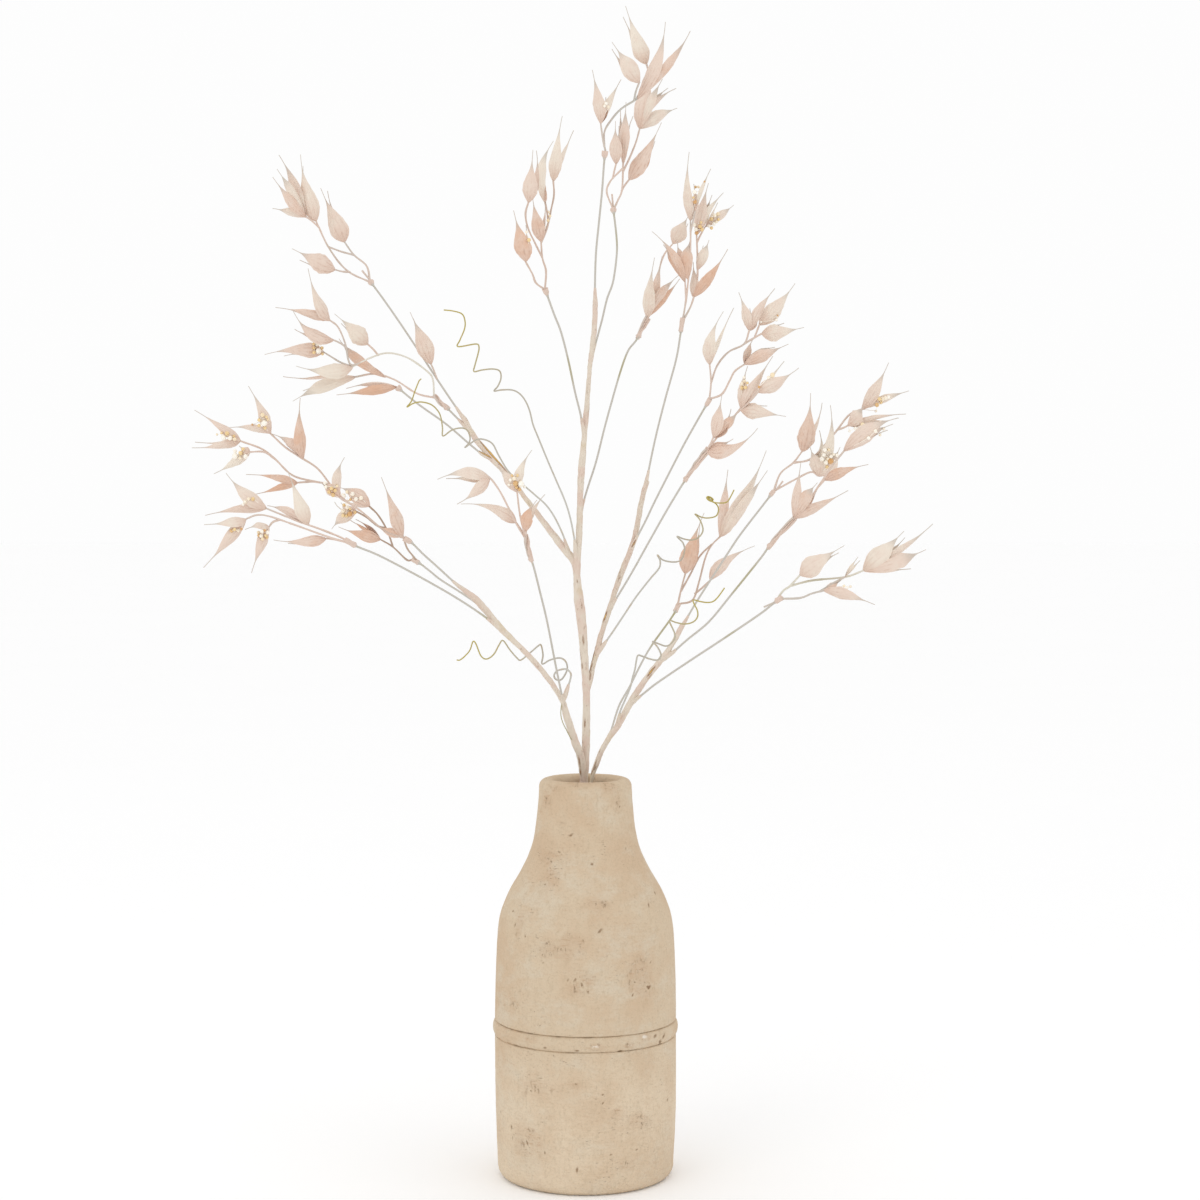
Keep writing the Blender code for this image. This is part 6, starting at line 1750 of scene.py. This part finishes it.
@dataclass
class SprigMaker:
    """The sprigs: wires, stalks, wraps and husks."""

    husks: HuskMaker
    step: float = 0.0016
    sides: int = 12
    stalk_sides: int = 8
    strand_sides: int = 7
    knob_at: float = 0.0022
    knob_width: float = 0.0016
    strand_tones: tuple[float, ...] = (0.9, 0.5, 1.2)
    strand_radius: float = 0.00075
    strand_bumps: float = 0.00025
    strand_spread: float = 0.0009
    stalk_bumps: float = 0.00012
    seed: int = 23

    def wire(self, sprig: Sprig, arms: dict[str, Path]) -> Path:
        """A sprig's wire, from the arm's middle to the sprig's node."""
        return grown([arms[sprig.arm]], sprig.wire, sprig.depth * MM, WIRE_RADIUS)

    def stalks(self, sprig: Sprig, wire: Path) -> list[Path]:
        """The sprig's stalks, each grown from the nearest line before it.

        Args:
            sprig: its measures.
            wire: its wire.

        Returns:
            A path for each stalk.
        """
        lines = [wire]
        for offset, points in sprig.stalks:
            lines.append(grown(lines, points, (sprig.depth + offset) * MM, STALK_RADIUS))
        return lines[1:]

    def covered(self, wire: Path, wrap: float, grain: Grain) -> Patch:
        """The wire, grey and olive, ending in pink paper at its node.

        The paper's radius has a knob at its lower end, as a bell-shaped curve, and grows to the
        node; three strands show through it as the cosine of three times the turn.

        Args:
            wire: the wire.
            wrap: how many pixels of it are wrapped.
            grain: the noise.

        Returns:
            The patch of the wire and its paper.
        """
        line = wire.smooth(self.step)
        far = (1 - line.along) * line.length
        length = wrap * pixel_size(0)
        paper = eased(far, length, length - 0.0015)
        knob = np.exp(-((far - length + self.knob_at) / self.knob_width) ** 2)
        rough = grain.layered(line.points, 0.005, 3)
        swollen = 0.55 + 0.3 * knob + 0.5 * eased(far, length, 0) + 0.3 * rough
        if wrap > LONG_WRAP:
            swollen = 0.2 + 0.9 * knob + 0.3 * rough
        line.radii = WIRE_RADIUS + (WRAP_RADIUS - WIRE_RADIUS) * paper * swollen
        stained = eased(grain.at(line.points, 0.03), 0.25, 0.7)
        olive = 0.7 * stained + 0.35 * eased(far, length + 0.006, length)
        turns = np.arange(self.sides) * 2 * math.pi / self.sides
        twist = grain.at(line.points, 0.012)[:, None] * 1.5
        strands = 0.16 * (line.radii * paper)[:, None] * np.cos(3 * turns + twist)
        tone = (paper - np.minimum(olive, 1) * (1 - paper))[:, None]
        return tube(line, self.sides, strands, tone)

    def strands(self, wire: Path, wrap: float, grain: Grain) -> list[Patch]:
        """Loose paper strands along a long wrap, wound about the wire a little unevenly.

        Each strand lies beside the wire by the cosine and sine of a slowly growing turn, farther
        out towards the node than at the knob.

        Args:
            wire: the wire.
            wrap: how many pixels of it are wrapped.
            grain: the noise.

        Returns:
            A patch for each strand.
        """
        length = min(wrap * pixel_size(0), wire.length * 0.9)
        line = wire.stretch(wire.length - length, wire.length).smooth(self.step)
        tangents = unit(np.gradient(line.points, axis=0))
        side = unit(np.cross(tangents, TO_VIEWER))
        deep = np.cross(tangents, side)
        patches = []
        for i, tone in enumerate(self.strand_tones):
            turn = (2.1 * i + 2.2 * line.along + 0.8 * grain.at(line.points + 0.1 * i, 0.008))[:, None]
            loose = 0.0004 * grain.at(line.points + i, 0.006)
            spread = (self.strand_spread + self.strand_spread * line.along + loose)[:, None]
            points = line.points + spread * (np.cos(turn) * side + np.sin(turn) * deep)
            radii = self.strand_radius + self.strand_bumps * grain.at(line.points - 0.1 * i, 0.005)
            patches.append(tube(Path(points, radii), self.strand_sides, tone=tone))
        return patches

    def build(self, name: str, sprig: Sprig, wire: Path, finishes: list[Material],
              number: int) -> Piece:
        """One sprig's skin.

        Args:
            name: the sprig's name.
            sprig: its measures.
            wire: its wire.
            finishes: its materials, by Finish.
            number: its place among the sprigs, which seeds its noise.

        Returns:
            The sprig, in place of its solid.
        """
        random = np.random.default_rng(self.seed + number)
        grain = Grain(self.seed + number)
        stalks = self.stalks(sprig, wire)
        patches = [self.covered(wire.stretch(ROOT_GAP, wire.length), sprig.wrap, grain)]
        if sprig.wrap > LONG_WRAP:
            patches += self.strands(wire, sprig.wrap, grain)
        for i, stalk in enumerate(stalks):
            line = stalk.smooth(self.step)
            bumps = self.stalk_bumps * grain.layered(line.points, 0.004, 2)
            line.radii = STALK_RADIUS * (1.0 - 0.15 * line.along) + bumps
            tone = STALK_TONES.get((name, i), STALK_TONES.get(name, STALK_TONE))
            shade = tone + 0.45 * grain.at(line.points, 0.025)
            patches.append(tube(line, self.stalk_sides, tone=shade[:, None]))
        for husk in sprig.husks:
            patches += self.husks.husk(husk, [wire, *stalks], random)
        made = skin(name + "_spray", patches, finishes, 50)
        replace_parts(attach(made, "root"), name)
        LOG.info("%s: %d stalks, %d husks", name, len(stalks), len(sprig.husks))
        return made


@dataclass
class TendrilMaker:
    """The curly tendrils: corkscrews that thin out towards their tips."""

    sides: int = 8
    step: float = 0.0009
    thinned: float = 0.35
    loop_points: int = 15
    loop_lean: float = 0.0006
    loop_tilt: tuple[float, float] = (0.87, 0.5)

    def path(self, tendril: Tendril, arms: dict[str, Path]) -> Path:
        """A corkscrew: the depth swings once, as a sine, between each turning place and the next.

        Args:
            tendril: its measures.
            arms: the arms' paths.

        Returns:
            The path from the arm's middle to the tip.
        """
        root = meet([arms[tendril.arm]], *tendril.points[0])
        along = shares(tendril.points)
        level = np.interp(along, (0, TENDRIL_REACH, 1), (root[1], tendril.depth * MM, tendril.depth * MM))
        turns = np.interp(along, (0, *along[list(tendril.cusps)], 1), np.arange(len(tendril.cusps) + 2))
        reached = np.interp(along, (0, TENDRIL_REACH), (0, 1))
        depth = level + TENDRIL_WAVE * reached * np.sin(2 * math.pi * turns)
        points = seen(np.array(tendril.points, float), depth)
        points[0] = root
        return Path(points, TENDRIL_RADIUS)

    def loop(self, line: Path, column: float, row: float, half_width: float, half_height: float) -> Patch:
        """A small tied loop, a tilted ellipse in the picture, its depth swinging as a cosine.

        Args:
            line: the tendril that it ties.
            column: its middle's column.
            row: its middle's row.
            half_width: in pixels.
            half_height: in pixels.

        Returns:
            The loop's patch.
        """
        turns = np.linspace(0, 1.9 * math.pi, self.loop_points)
        depth = meet([line], column, row)[1] + self.loop_lean * np.cos(turns)
        across, down = half_width * np.cos(turns), half_height * np.sin(turns)
        even, odd = self.loop_tilt
        places = np.column_stack((column + even * across - odd * down, row + odd * across + even * down))
        return tube(Path(seen(places, depth), TENDRIL_RADIUS), self.sides, tone=1.0)

    def build(self, name: str, path: Path, finish: Material) -> Piece:
        """One tendril's skin.

        Args:
            name: the tendril's name.
            path: its path.
            finish: its wire.

        Returns:
            The tendril, in place of its solid.
        """
        line = path.stretch(ROOT_GAP, path.length).smooth(self.step)
        line.radii = TENDRIL_RADIUS * (1 - self.thinned * line.along)
        patches = [tube(line, self.sides, tone=line.along[:, None])]
        if name in LOOPS:
            patches.append(self.loop(line, *LOOPS[name]))
        made = skin(name + "_curl", patches, [finish])
        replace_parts(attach(made, "root"), name)
        LOG.info("%s: %.0f mm long", name, line.length / MM)
        return made


# The studio
@dataclass
class Studio:
    """A plain pale floor, soft square lights and the photograph's camera.

    A lamp is its name, its place, the length of its side in metres and its power in watts.
    """

    floor_size: float = 30.0
    glow: float = 0.985
    aim: tuple[float, float, float] = (0.0, 0.0, 0.4)
    farthest: float = 60.0
    lamps: tuple = (("key", (-1.2, -1.6, 1.6), 1.2, 4.5), ("fill", (1.6, -1.2, 1.0), 1.4, 1.5))

    def floor(self) -> None:
        """The floor, as a fine-grained pale surface."""
        half = self.floor_size / 2
        mesh = bpy.data.meshes.new("floor")
        mesh.from_pydata([(-half, -half, 0), (half, -half, 0), (half, half, 0), (-half, half, 0)],
                         [], [(0, 1, 2, 3)])
        mix = Recipe("pale floor", {"Roughness": 0.9})
        mesh.materials.append(mix.finish(mix.blend(
            mix.noise(0.4, 2), colour(255, 255, 255), colour(254, 254, 254))))
        made = placed("floor", mesh)

    def light(self, name: str, place: tuple[float, float, float], size: float, power: float) -> None:
        """Put up a soft light that looks at the middle of the object.

        Args:
            name: the lamp's name.
            place: where it hangs.
            size: the length of its side.
            power: its power.
        """
        lamp = bpy.data.lights.new(name, "AREA")
        lamp.size = size
        lamp.energy = power
        made = placed(name, lamp)
        made.location = place
        aim = np.array(self.aim) - place
        made.rotation_euler = (math.atan2(math.hypot(aim[0], aim[1]), -aim[2]), 0,
                               math.atan2(aim[1], aim[0]) - math.pi / 2)

    def camera(self) -> None:
        """A camera at the eye, pitched down, with the focal length of the photograph."""
        lens = bpy.data.cameras.new("camera")
        lens.sensor_width = SENSOR_MM
        lens.lens = FOCAL_PIXELS / FRAME_PIXELS * SENSOR_MM
        lens.clip_end = self.farthest
        made = placed("camera", lens)
        made.location = tuple(EYE)
        made.rotation_euler = (math.pi / 2 - PITCH, 0, 0)
        bpy.context.scene.camera = made

    def build(self) -> None:
        """The whole studio."""
        self.camera()
        self.floor()
        scene = bpy.context.scene
        scene.view_settings.view_transform = "Standard"
        scene.world = scene.world or bpy.data.worlds.new("studio")
        scene.world.use_nodes = True
        sky = scene.world.node_tree.nodes["Background"]
        sky.inputs["Color"].default_value = (1.0, 1.0, 1.0, 1.0)
        sky.inputs["Strength"].default_value = self.glow
        for lamp in self.lamps:
            self.light(*lamp)
        LOG.info("studio: floor, camera and %d lights", len(self.lamps))


def clear() -> None:
    """Take away what a new file holds, apart from the frame."""
    for name in ("Cube", "Light", "Camera"):
        if name in bpy.data.objects:
            bpy.data.objects.remove(bpy.data.objects[name])


def main() -> None:
    """Build every piece, logging the counts of each skin's parts and each tendril's length."""
    logging.basicConfig(level=logging.INFO, format="%(name)s: %(message)s")
    clear()
    Studio().build()
    BottleVase().build(PlasterFinish().material())
    branch = Branch()
    arms = branch.paths()
    sprigs, curls = SprigMaker(HuskMaker()), TendrilMaker()
    wires = {name: sprigs.wire(sprig, arms) for name, sprig in SPRIGS.items()}
    coils = {name: curls.path(tendril, arms) for name, tendril in TENDRILS.items()}
    metal = WireFinish().material()
    branch.build(arms, {**wires, **coils}, PaperFinish().material(), metal)
    finishes = [metal, HuskFinish().material(), PearlFinish().material()]
    for number, (name, sprig) in enumerate(SPRIGS.items()):
        sprigs.build(name, sprig, wires[name], finishes, number)
    olive = CurlFinish().material()
    for name, coil in coils.items():
        curls.build(name, coil, olive)
    bpy.context.view_layer.update()


if __name__ == "__main__":
    main()
